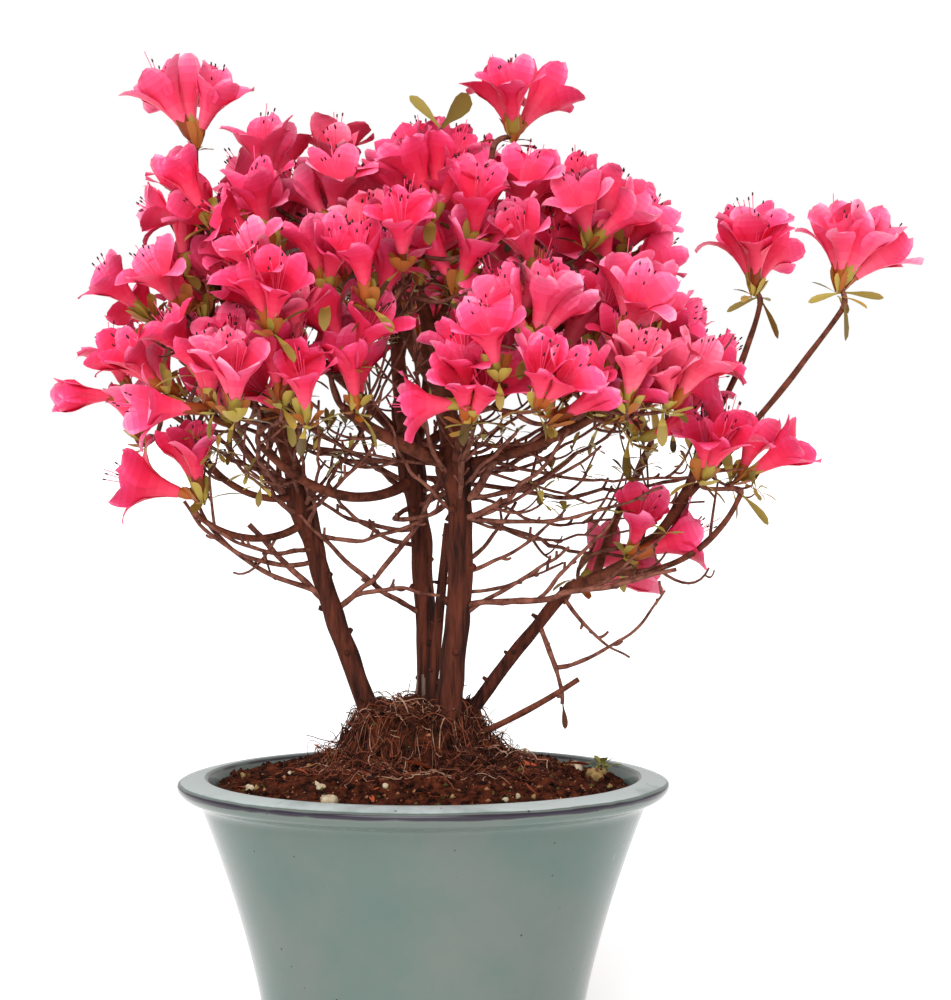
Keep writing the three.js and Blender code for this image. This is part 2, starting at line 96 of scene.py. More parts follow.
def across(axis: Array) -> tuple[Array, Array]:
    """Finds two directions square to each axis and to each other.

    Args:
        axis: unit vectors along the last axis.

    Returns:
        The level direction, and the one that points up along the slope.
    """
    level = np.where(np.abs(axis[..., 2:]) < 0.99, UP, np.array([1.0, 0.0, 0.0]))
    first = unit(np.cross(level, axis))
    return first, np.cross(axis, first)


def spoke(axis: Array, around: Array) -> Array:
    """Finds the direction square to each axis that lies at an angle round it.

    Args:
        axis: unit vectors along the last axis.
        around: angles in radians from the level direction.

    Returns:
        Unit vectors.
    """
    first, second = across(axis)
    return first * np.cos(around)[..., None] + second * np.sin(around)[..., None]


def lumps(points: Array, size: float, seed: float = 0.0) -> Array:
    """Gives smooth noise: a hashed value at each corner of a cubic lattice, eased from corner to corner.

    Args:
        points: where to read it, in the unit of size.
        size: spacing of the lattice.
        seed: which pattern.

    Returns:
        Values from -1 to 1, one for each point.
    """
    cell = np.floor(points / size)
    part = points / size - cell
    part = part * part * (3 - 2 * part)
    total = np.zeros(points.shape[:-1])
    for corner in np.ndindex(2, 2, 2):
        weight = np.prod(np.where(np.array(corner) == 1, part, 1 - part), axis=-1)
        node = (cell + np.array(corner)) @ np.array([1.0, 17.31, 41.73])
        total = total + weight * chance(node + seed, 3.0)
    return 2 * total - 1


def wander(points: Array, size: float, seed: float) -> Array:
    """Gives smooth noise as vectors: three patterns of lumps whose seeds follow each other."""
    return np.stack([lumps(points, size, seed + i) for i in range(3)], axis=-1)


def ring_angles(sides: int) -> Array:
    """Gives the angles of an even ring's corners, in radians."""
    return np.arange(sides) * 2 * np.pi / sides


def none_yet(*shape: int, kind: type = float) -> Array:
    """Makes a dataclass field that starts as an empty array of this shape."""
    return field(default_factory=lambda: np.zeros(shape, dtype=kind))


def grid_faces(count: int, rows: int, columns: int, around: bool = False) -> Array:
    """Lists the four-cornered faces of several like grids of points that follow each other.

    Args:
        count: how many grids.
        rows: points along each grid.
        columns: points across each grid.
        around: whether the last column joins the first.

    Returns:
        Point numbers, one row for each face.
    """
    row = np.arange(rows - 1)[:, None] * columns
    column = np.arange(columns if around else columns - 1)[None, :]
    beside = (column + 1) % columns
    quads = np.stack([row + column, row + beside, row + columns + beside, row + columns + column], axis=-1)
    starts = np.arange(count)[:, None, None] * rows * columns
    return (starts + quads.reshape(-1, 4)).reshape(-1, 4)


def linear(colour: str) -> tuple[float, float, float, float]:
    """Turns an sRGB hex colour into linear light.

    Args:
        colour: six hex digits after a hash.

    Returns:
        Red, green, blue and an alpha of one.
    """
    shares = [int(colour[i : i + 2], 16) / 255 for i in (1, 3, 5)]
    light = [s / 12.92 if s <= 0.04045 else ((s + 0.055) / 1.055) ** 2.4 for s in shares]
    return (light[0], light[1], light[2], 1.0)


def add_node(
    tree: bpy.types.NodeTree,
    kind: str,
    settings: dict[str | int, object] | None = None,
    links: dict[str | int, bpy.types.NodeSocket] | None = None,
) -> bpy.types.Node:
    """Adds a node with its settings and links.

    Args:
        tree: the tree that it joins.
        kind: Blender's name for the kind of node.
        settings: values by input name, input number or property name; stops are a colour ramp's places and
            colours.
        links: sockets that feed inputs, by input name or number.

    Returns:
        The node.
    """
    node = tree.nodes.new(kind)
    for name, value in (settings or {}).items():
        if isinstance(name, int):
            node.inputs[name].default_value = value
        elif name == "stops":
            ramp = node.color_ramp
            while len(ramp.elements) < len(value):
                ramp.elements.new(1.0)
            for element, (place, colour) in zip(ramp.elements, value):
                element.position = place
                element.color = linear(colour)
        elif name in node.inputs:
            node.inputs[name].default_value = value
        else:
            setattr(node, name, value)
    for name, socket in (links or {}).items():
        tree.links.new(socket, node.inputs[name])
    return node


def add_noise(
    tree: bpy.types.NodeTree, place: bpy.types.NodeSocket, size: float, detail: float, roughness: float = 0.5
) -> bpy.types.NodeSocket:
    """Adds a noise texture.

    Args:
        tree: the tree that it joins.
        place: socket that gives the place.
        size: of its patches, in mm.
        detail: how many finer layers it has.
        roughness: weight of the finer layers.

    Returns:
        The socket of its value.
    """
    settings = {"Scale": 1000 / size, "Detail": detail, "Roughness": roughness}
    return add_node(tree, "ShaderNodeTexNoise", settings, {"Vector": place}).outputs["Fac"]


def start_material(name: str) -> tuple[bpy.types.Material, bpy.types.NodeTree]:
    """Makes a material without nodes.

    Args:
        name: of the material.

    Returns:
        The material and its tree.
    """
    made = bpy.data.materials.new(name)
    made.use_nodes = True
    made.node_tree.nodes.clear()
    return made, made.node_tree


def end_material(
    tree: bpy.types.NodeTree,
    settings: dict[str | int, object],
    links: dict[str | int, bpy.types.NodeSocket] | None = None,
) -> None:
    """Adds the shader and the output to a material's tree.

    Args:
        tree: the tree.
        settings: of the shader, by input name.
        links: sockets that feed the shader, by input name.
    """
    surface = add_node(tree, "ShaderNodeBsdfPrincipled", settings, links)
    add_node(tree, "ShaderNodeOutputMaterial", links={"Surface": surface.outputs["BSDF"]})


class Pile:
    """Surfaces gathered into one mesh: points and faces of any number of corners, each with a tint."""

    BALL_ROWS = 7
    BALL_SIDES = 10
    POLE = 0.15

    def __init__(self) -> None:
        """Starts empty."""
        self.points: list[Array] = []
        self.faces: list[Array] = []
        self.tints: list[Array] = []
        self.count = 0

    def add(self, points: Array, faces: Array, tint: Array | int = 0) -> None:
        """Adds a surface.

        Args:
            points: places along the last axis.
            faces: point numbers within this surface, one row for each face.
            tint: number of the material, one for all faces or one for each.
        """
        flat = points.reshape(-1, 3)
        self.points.append(flat)
        self.faces.append(faces + self.count)
        self.tints.append(np.broadcast_to(np.asarray(tint), (len(faces),)))
        self.count += len(flat)

    def add_grids(self, points: Array, tint: Array | int = 0, around: bool = False) -> None:
        """Adds several like grids.

        Args:
            points: shape (grids, rows, columns, 3).
            tint: one for all, one for each grid, or one for each face of a grid by grid.
            around: whether the last column joins the first.
        """
        count, rows, columns, _ = points.shape
        faces = grid_faces(count, rows, columns, around)
        shade = np.asarray(tint)
        if shade.ndim:
            shade = shade.reshape(count, -1)
            shade = np.repeat(shade, len(faces) // shade.size, axis=1).reshape(-1)
        self.add(points, faces, shade)

    def add_closed(self, points: Array, tint: Array | int = 0) -> None:
        """Adds several like grids that join round on themselves, with a flat cap on each end.

        Args:
            points: shape (grids, rows, sides, 3).
            tint: as in add_grids; the caps take the first of their grid.
        """
        count, rows, sides, _ = points.shape
        ring = self.count + np.arange(sides) + rows * sides * np.arange(count)[:, None]
        self.add_grids(points, tint, around=True)
        shade = np.asarray(tint)
        first = shade.reshape(count, -1)[:, 0] if shade.ndim else np.full(count, shade)
        for cap in (ring[:, ::-1], ring + (rows - 1) * sides):
            self.faces.append(cap)
            self.tints.append(first)

    def add_tubes(self, paths: Array, radii: Array, sides: int, tint: Array | int = 0) -> None:
        """Adds round bars with closed ends along paths.

        A bar is P(i, j) = C(i) + r(i, j) (N cos a + B sin a) with a = 2 pi j / sides. C is the path and T its
        direction, N is square to T and to the axis that the path runs least along, and B = T x N.

        Args:
            paths: shape (bars, rows, 3).
            radii: shape (bars, rows), or (bars, rows, sides) for a relief.
            sides: corners of the section.
            tint: one for all, one for each bar, or one for each face of a bar by bar.
        """
        ahead = unit(np.gradient(paths, axis=1))
        aside = np.eye(3)[np.argmin(np.abs(paths[:, -1] - paths[:, 0]), axis=1)][:, None, :]
        first = unit(np.cross(ahead, aside))
        second = np.cross(ahead, first)
        turn = ring_angles(sides)[:, None]
        spokes = first[:, :, None] * np.cos(turn) + second[:, :, None] * np.sin(turn)
        reach = radii if radii.ndim == 3 else radii[:, :, None]
        self.add_closed(paths[:, :, None] + reach[..., None] * spokes, tint)

    def add_balls(self, centres: Array, radii: Array, tint: Array | int = 0, rough: float = 0.0) -> None:
        """Adds balls: P = C + r (sin p cos a, sin p sin a, cos p), with small caps at the poles.

        Args:
            centres: shape (balls, 3).
            radii: one for each ball.
            tint: one for all or one for each ball.
            rough: share of the radius that noise pushes the surface in and out by.
        """
        polar = np.linspace(np.pi - self.POLE, self.POLE, self.BALL_ROWS)[:, None]
        turn = ring_angles(self.BALL_SIDES)[None, :]
        flat = np.sin(polar)
        shell = np.stack([flat * np.cos(turn), flat * np.sin(turn), np.cos(polar) + 0 * turn], axis=-1)
        own = 9.0 * np.arange(len(centres))[:, None, None, None]
        reach = radii[:, None, None] * (1 + rough * lumps(shell[None] + own, 0.8, 3))
        self.add_closed(centres[:, None, None] + reach[..., None] * shell, tint)

    def piece(
        self, name: str, materials: list[bpy.types.Material], nodes: list[str]
    ) -> bpy.types.Object:
        """Writes the mesh as a piece of the object.

        Args:
            name: of the piece.
            materials: in the order of the tints.
            nodes: CAD nodes that it stands for.

        Returns:
            The piece, on the object's one body.
        """
        loops = np.concatenate([faces.ravel() for faces in self.faces]).astype(np.int32)
        sizes = np.concatenate([np.full(len(faces), faces.shape[1]) for faces in self.faces])
        starts = np.concatenate([[0], np.cumsum(sizes)[:-1]]).astype(np.int32)
        corners = (np.concatenate(self.points) * METRES).astype(np.float32)
        mesh = bpy.data.meshes.new(name)
        mesh.vertices.add(len(corners))
        mesh.vertices.foreach_set("co", corners.ravel())
        mesh.loops.add(len(loops))
        mesh.loops.foreach_set("vertex_index", loops)
        mesh.polygons.add(len(sizes))
        mesh.polygons.foreach_set("loop_start", starts)
        mesh.polygons.foreach_set("material_index", np.concatenate(self.tints).astype(np.int32))
        mesh.polygons.foreach_set("use_smooth", np.ones(len(sizes), dtype=bool))
        mesh.update(calc_edges=True)
        for material in materials:
            mesh.materials.append(material)
        made = bpy.data.objects.new(name, mesh)
        bpy.context.collection.objects.link(made)
        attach(made, "root")
        if nodes:
            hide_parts(*nodes)
        LOG.info("%s: %d triangles", name, int((sizes - 2).sum()))
        return made


@dataclass(frozen=True)
class Finish:
    """A dull natural surface: two tones in soft patches, and a fine grain that stands up from it."""

    name: str
    colour: str
    second: str
    patch: float
    grain: float
    depth: float
    roughness: float
    stretch: tuple[float, float, float] = (1.0, 1.0, 1.0)
    shine: float = 0.25
    index: float = 1.45

    def material(self) -> bpy.types.Material:
        """Makes the material.

        Returns:
            A material with patches of the two tones, patch mm across, and a bump of grain mm.
        """
        made, tree = start_material(self.name)
        place = add_node(tree, "ShaderNodeTexCoord").outputs["Object"]
        mapping = add_node(tree, "ShaderNodeMapping", {"Scale": self.stretch}, {"Vector": place})
        scaled = mapping.outputs["Vector"]
        patches = add_noise(tree, scaled, self.patch, 3.0, 0.6)
        stops = [(0.35, self.colour), (0.65, self.second)]
        tones = add_node(tree, "ShaderNodeValToRGB", {"stops": stops}, {"Fac": patches})
        grains = add_noise(tree, scaled, self.grain, 2.0)
        height = {"Distance": self.depth * METRES, "Strength": 1.0}
        bump = add_node(tree, "ShaderNodeBump", height, {"Height": grains})
        end_material(
            tree,
            {"Roughness": self.roughness, "IOR": self.index, "Specular IOR Level": self.shine},
            {"Base Color": tones.outputs["Color"], "Normal": bump.outputs["Normal"]},
        )
        return made


@dataclass(frozen=True)
class Tissue:
    """Petal or leaf: one plain colour, in hex or as linear light, with a satin skin."""

    name: str
    colour: str | tuple[float, ...]
    roughness: float
    shine: float = 0.25
    index: float = 1.4

    def material(self) -> bpy.types.Material:
        """Makes the material.

        Returns:
            A satin material in one plain colour.
        """
        made, tree = start_material(self.name)
        colour = linear(self.colour) if isinstance(self.colour, str) else self.colour
        skin = {"Roughness": self.roughness, "IOR": self.index, "Specular IOR Level": self.shine}
        end_material(tree, {"Base Color": colour, **skin})
        return made


def materials_of(finishes: tuple[Finish | Tissue, ...]) -> list[bpy.types.Material]:
    """Makes the materials of some finishes, in their order."""
    return [finish.material() for finish in finishes]


@dataclass(frozen=True)
class Glaze:
    """Celadon glaze: milky green-grey and glossy, over a dark body that shows where it thins on the lip."""

    # The palest tone, only reached as a painted highlight on the lip's top
    pale: str = "#b2bfbd"
    pool: str = "#516660"
    colour: str = "#626b65"
    bare: str = "#2b2530"
    roughness: float = 0.14
    shine: float = 0.32
    index: float = 1.52
    cloud: float = 80.0
    cloud_share: float = 0.5
    # Weight of the attribute that marks both the thin glaze and the painted highlight on the lip's top
    thin_and_highlight_share: float = 0.55
    speck: float = 12.0
    speck_edge: tuple[float, float] = (0.07, 0.04)
    speck_depth: float = 0.5

    def material(self) -> bpy.types.Material:
        """Makes the material.

        Returns:
            A glossy material, clouded over cloud mm, that turns to the bare body by a glaze attribute, and to
            a pale painted highlight where the attribute is low on the lip's top.
        """
        made, tree = start_material("celadon_glaze")
        place = add_node(tree, "ShaderNodeTexCoord").outputs["Object"]
        # High where the glaze thins to the body, low where the lip's top gets its painted highlight
        thin = add_node(tree, "ShaderNodeAttribute", {"attribute_name": "thin_glaze"}).outputs["Fac"]
        clouds = add_noise(tree, place, self.cloud, 5.0, 0.6)
        specks = add_node(tree, "ShaderNodeTexVoronoi", {"Scale": 1000 / self.speck}, {"Vector": place})
        edge = {"From Min": self.speck_edge[0], "From Max": self.speck_edge[1], "To Max": self.speck_depth}
        dots = add_node(tree, "ShaderNodeMapRange", edge, {"Value": specks.outputs["Distance"]})
        tone = dots.outputs["Result"]
        for share, value in ((self.thin_and_highlight_share, thin), (self.cloud_share, clouds)):
            weighted = {"operation": "MULTIPLY_ADD", 1: share}
            tone = add_node(tree, "ShaderNodeMath", weighted, {0: value, 2: tone}).outputs["Value"]
        # The pale stop paints a highlight on the lip's top; the bare stop is the body where the glaze thins
        stops = [
            (0.06, self.pale),
            (0.16, self.pool),
            (0.32, self.colour),
            (0.45, self.colour),
            (0.7, self.bare),
        ]
        body = add_node(tree, "ShaderNodeValToRGB", {"stops": stops}, {"Fac": tone})
        end_material(
            tree,
            {"Roughness": self.roughness, "IOR": self.index, "Specular IOR Level": self.shine},
            {"Base Color": body.outputs["Color"]},
        )
        return made


@dataclass(frozen=True)
class Limb:
    """A stem or bough: its heading turns evenly from first to last, and it tapers evenly."""

    name: str
    on: str
    at: float
    length: float
    azimuth: tuple[float, float]
    elevation: tuple[float, float]
    radius: tuple[float, float]
    foot: tuple[float, float, float] | None = None


STEMS = (
    Limb("left_stem", "", 0, 127, (177, 166), (67, 77), (5.6, 5.4), (-30.5, -2, 180)),
    Limb("back_stem", "", 0, 146, (80, 181), (86, 82), (5.9, 5.7), (1.5, 15, 180)),
    Limb("front_stem", "", 0, 139, (0, 0), (79.5, 97), (7.0, 6.6), (13.2, -18, 180)),
    Limb("right_stem", "", 0, 80, (-2, -6), (57, 47), (3.8, 3.3), (28.2, 3, 180)),
    Limb("thin_stem", "", 0, 97, (31, 20), (86, 83), (3, 2.3), (4.5, 1, 180)),
)
STUB = Limb("low_stub", "", 0, 58, (-14, -15), (25, 34), (1.8, 1.5), (33, -13, 167))
BOUGHS = (
    Limb("left_leader", "left_stem", 1, 92, (162, 177), (69, 68), (4.4, 2.8)),
    Limb("left_top_shoot", "left_leader", 0.8, 98, (150, 235), (57, 88), (2, 1.5)),
    Limb("left_outer_bough", "left_leader", 0.35, 68, (-148, -180), (32, 46), (2.6, 1.8)),
    Limb("left_mid_bough", "left_stem", 0.93, 57, (-154, -177), (-15, 55), (2.3, 1.7)),
    Limb("left_low_bough", "left_stem", 0.83, 66, (-147, -165), (-35, 42), (2.2, 1.6)),
    Limb("left_back_bough", "left_stem", 0.9, 90, (108, 137), (1, 47), (3, 2)),
    Limb("left_arc_bough", "back_stem", 0.84, 115, (-125, -151), (-26, 46), (3.2, 2)),
    Limb("front_left_bough", "front_stem", 0.93, 76, (-162, -127), (18, 28), (4.2, 2.8)),
    Limb("front_leader", "front_stem", 1, 79, (124, 193), (74, 79), (5.0, 3.2)),
    Limb("front_bough", "front_stem", 0.9, 59, (-81, -84), (40, 20), (4, 2.6)),
    Limb("front_upper_bough", "front_leader", 0.35, 65, (-136, -100), (40, 46), (2.8, 1.9)),
    Limb("top_left_bough", "front_leader", 0.55, 95, (166, 184), (50, 55), (2.8, 1.8)),
    Limb("top_right_shoot", "front_leader", 0.75, 105, (18, -6), (60, 82), (2.4, 1.6)),
    Limb("right_upper_bough", "front_leader", 0.25, 93, (-1, -38), (34, 65), (3, 1.9)),
    Limb("right_top_bough", "right_upper_bough", 0.35, 98, (22, 18), (16, 75), (2.2, 1.6)),
    Limb("right_inner_bough", "front_stem", 0.92, 85, (-12, -36), (11, 27), (3.6, 2.4)),
    Limb("right_main_bough", "right_stem", 1, 95, (-4, -7), (14, 73), (3.3, 2.5)),
    Limb("right_outer_bough", "right_main_bough", 1, 46, (1, -105), (74, 87), (2.5, 2)),
    Limb("right_low_bough", "right_main_bough", 0.25, 88, (-20, -17), (-6, 68), (1.9, 1.5)),
    Limb("right_back_bough", "right_main_bough", 0.15, 102, (80, 42), (31, 57), (2.6, 1.8)),
    Limb("far_right_bough", "right_main_bough", 0.8, 135, (6, 2), (45, 55), (2, 1.5)),
    Limb("far_right_inner_bough", "right_outer_bough", 0.3, 88, (56, 3), (44, 78), (1.9, 1.5)),
    Limb("back_leader", "back_stem", 1, 83, (113, 112), (71, 77), (4.8, 3.2)),
    Limb("back_left_bough", "back_stem", 0.95, 108, (122, 152), (29, 38), (3.4, 2.2)),
    Limb("back_right_bough", "back_stem", 0.92, 114, (48, 36), (24, 35), (3.4, 2.2)),
    Limb("back_bough", "back_stem", 0.86, 107, (83, 88), (31, 45), (3.2, 2.2)),
)


@dataclass(frozen=True)
class Mass:
    """A mass of blossom on a limb: its twig tips reach the half widths from its centre.

    The turn starts the ring of its trusses. Flowers is how many each truss has, or 0 for the usual number.
    At is the share of the limb that it leaves from, and lean tilts its flowers towards +X.
    """

    name: str
    on: str
    centre: tuple[float, float, float]
    half: tuple[float, float, float]
    trusses: int
    turn: float
    flowers: int = 0
    at: float = 1.0
    lean: float = 0.0


MASSES = (
    Mass("left_top", "left_top_shoot", (-121, 3, 479), (0, 0, 0), 1, 180, 3),
    Mass("left_upper", "left_leader", (-77, -8, 421), (22, 26, 14), 4, 180),
    Mass("left_outer", "left_outer_bough", (-121, -8, 390), (14, 24, 16), 3, 180, 1),
    Mass("left_mid", "left_mid_bough", (-131, -14, 347), (14, 26, 2), 3, 180),
    Mass("left_low", "left_low_bough", (-117, -22, 291), (0, 0, 0), 1, 175),
    Mass("left_front", "left_arc_bough", (-76, -60, 341), (26, 24, 18), 4, 200),
    Mass("left_back", "left_back_bough", (-116, 74, 354), (26, 26, 24), 3, 150),
    Mass("top_left", "top_left_bough", (-58, 0, 429), (28, 30, 10), 4, 90),
    Mass("top_centre", "front_leader", (4, -6, 427), (28, 34, 14), 4, 60),
    Mass("top_right", "top_right_shoot", (48, 0, 482), (0, 0, 0), 1, 15, 3, lean=0.75),
    Mass("centre_front", "front_left_bough", (-54, -70, 376), (18, 18, 18), 4, 250),
    Mass("centre_upper", "front_upper_bough", (-9, -62, 408), (26, 18, 18), 4, 270),
    Mass("centre_low", "front_bough", (52, -80, 345), (20, 16, 14), 3, 250),
    Mass("right_upper", "right_upper_bough", (56, -34, 412), (26, 28, 16), 4, 300),
    Mass("right_top", "right_top_bough", (91, 14, 423), (14, 18, 8), 2, 40),
    Mass("right_front", "right_inner_bough", (88, -62, 344), (34, 22, 22), 5, 280),
    Mass("right_outer", "right_outer_bough", (108, -12, 352), (22, 28, 24), 4, 330),
    Mass("right_low", "right_low_bough", (152, -24, 299), (12, 14, 6), 2, 350),
    Mass("right_under", "right_main_bough", (96, 10, 259), (12, 12, 14), 2, 140, 2, 0.55, 0.4),
    Mass("far_right", "far_right_bough", (222, 0, 402), (0, 0, 0), 1, 15, 4, lean=-0.45),
    Mass("far_right_inner", "far_right_inner_bough", (178, 15, 401), (0, 0, 0), 1, 195, 4, lean=-0.15),
    Mass("back_top", "back_leader", (-18, 58, 426), (34, 26, 20), 4, 100),
    Mass("back_left", "back_left_bough", (-80, 96, 402), (30, 26, 24), 4, 130),
    Mass("back_right", "back_right_bough", (70, 100, 394), (32, 26, 24), 4, 70),
    Mass("back", "back_bough", (0, 124, 376), (30, 18, 26), 4, 90),
    Mass("right_back", "right_back_bough", (106, 68, 350), (26, 26, 24), 3, 30),
)


class Framework:
    """Centre lines of all stems and boughs, by the rule of the model."""

    ROOT_DEPTH = 12.0
    SWELL = 0.2
    SWELL_LENGTH = 7.0

    def __init__(self) -> None:
        """Lays the stems first and each bough on a limb that is there already."""
        self.limbs: dict[str, Limb] = {}
        self.lines: dict[str, Array] = {}
        for stem in STEMS:
            lean = heading(stem.azimuth[0], stem.elevation[0])
            sunk = self.ROOT_DEPTH / lean[2]
            self.lay(stem, np.array(stem.foot) - lean * sunk, stem.length + sunk)
        self.lay(STUB, np.array(STUB.foot), STUB.length)
        for bough in BOUGHS:
            self.lay(bough, self.point(bough.on, bough.at), bough.length)

    def lay(self, limb: Limb, start: Array, length: float) -> None:
        """Keeps a limb's centre line.

        Args:
            limb: the limb.
            start: its first point.
            length: along the line.
        """
        self.limbs[limb.name] = limb
        self.lines[limb.name] = bent_line(start, length, limb.azimuth, limb.elevation)

    def point(self, name: str, share: float) -> Array:
        """Finds the point at a share of a limb's length."""
        return along(self.lines[name], np.array([share]))[0]

    def swelling(self, name: str, shares: Array) -> Array:
        """Finds how much a limb thickens round the boughs that leave it.

        Args:
            name: of the limb.
            shares: of its length.

        Returns:
            The added share of its radius: a bell round each bough.
        """
        total = np.zeros_like(shares)
        for bough in BOUGHS:
            if bough.on == name and bough.at < 1:
                away = (shares - bough.at) * self.limbs[name].length / self.SWELL_LENGTH
                total += self.SWELL * np.exp(-(away**2))
        return total


def bent_line(
    start: Array, length: float, azimuth: tuple[float, float], elevation: tuple[float, float]
) -> Array:
    """Sums equal steps whose heading turns evenly from the first angles to the last.

    Args:
        start: first point.
        length: along the line.
        azimuth: first and last.
        elevation: first and last.

    Returns:
        The start and the point after each step.
    """
    share = (np.arange(LINE_STEPS) + 0.5) / LINE_STEPS
    turn = azimuth[0] + (azimuth[1] - azimuth[0]) * share
    rise = elevation[0] + (elevation[1] - elevation[0]) * share
    steps = heading(turn, rise) * length / LINE_STEPS
    return np.concatenate([[start], start + np.cumsum(steps, axis=0)])


def along(line: Array, shares: Array) -> Array:
    """Reads points at shares of a line's length, between its even points."""
    places = np.arange(len(line)) / (len(line) - 1)
    return np.stack([np.interp(shares, places, line[:, i]) for i in range(3)], axis=-1)


def bowed(start: Array, bend: Array, end: Array, rows: int) -> Array:
    """Bends lines from start to end towards a third point: the quadratic (1-s)^2 A + 2s(1-s) B + s^2 C.

    Args:
        start: points A, shape (lines, 3).
        bend: points B.
        end: points C.
        rows: points on each line.

    Returns:
        Shape (lines, rows, 3).
    """
    s = np.linspace(0, 1, rows)[None, :, None]
    return (1 - s) ** 2 * start[:, None] + 2 * s * (1 - s) * bend[:, None] + s**2 * end[:, None]


def pushes(points: Array, room: float, strength: float) -> Array:
    """Finds how far points are pushed by those nearer than room: a share of what they lack, away from each.

    Args:
        points: shape (count, 3).
        room: distance from which none push.
        strength: the share.

    Returns:
        Shape (count, 3).
    """
    apart = points[:, None] - points[None]
    distance = np.maximum(np.linalg.norm(apart, axis=-1), 1e-6)
    lack = np.where(distance < room, strength * (room - distance) / distance, 0.0)
    np.fill_diagonal(lack, 0.0)
    return (apart * lack[..., None]).sum(axis=1)


# Places of the four tones along a petal: calyx, throat with painted shade, lobe, and edge with painted
# highlight
PETAL_PLACES = (0.0, 0.35, 0.7, 1.0)


class PetalTone(Enum):
    """Families of petal colour: at the calyx, in the throat, on the lobe and at its edge."""

    # The most common flowers: clear rose that pales to the edge, partly as a painted highlight
    ROSE = ("#eb516d", "#e72b53", "#f14e82", "#f788ab")
    # Lighter flowers
    PINK = ("#ee627c", "#ec3a62", "#f4618f", "#f799b6")
    # Deeper flowers that give the crown its depth
    CRIMSON = ("#e34560", "#dc2348", "#ea4173", "#f4759d")
    # A few duller flowers
    FADED = ("#e96879", "#e54160", "#ed6183", "#f68fa9")

    def materials(self, steps: int) -> list[bpy.types.Material]:
        """Makes the plain colours that step along a petal.

        Args:
            steps: how many.

        Returns:
            One material for each step from calyx to edge.
        """
        keys = np.array([linear(colour) for colour in self.value]).T
        made = []
        for step in range(steps):
            light = tuple(float(np.interp(step / (steps - 1), PETAL_PLACES, key)) for key in keys)
            made.append(Tissue(f"petal_{self.name.lower()}_{step}", light, 0.45).material())
        return made


class Bloom(Enum):
    """How far a flower has opened, as the spread of its mouth."""

    BUD = 0.2
    OPENING = 0.42
    OPEN = 0.94


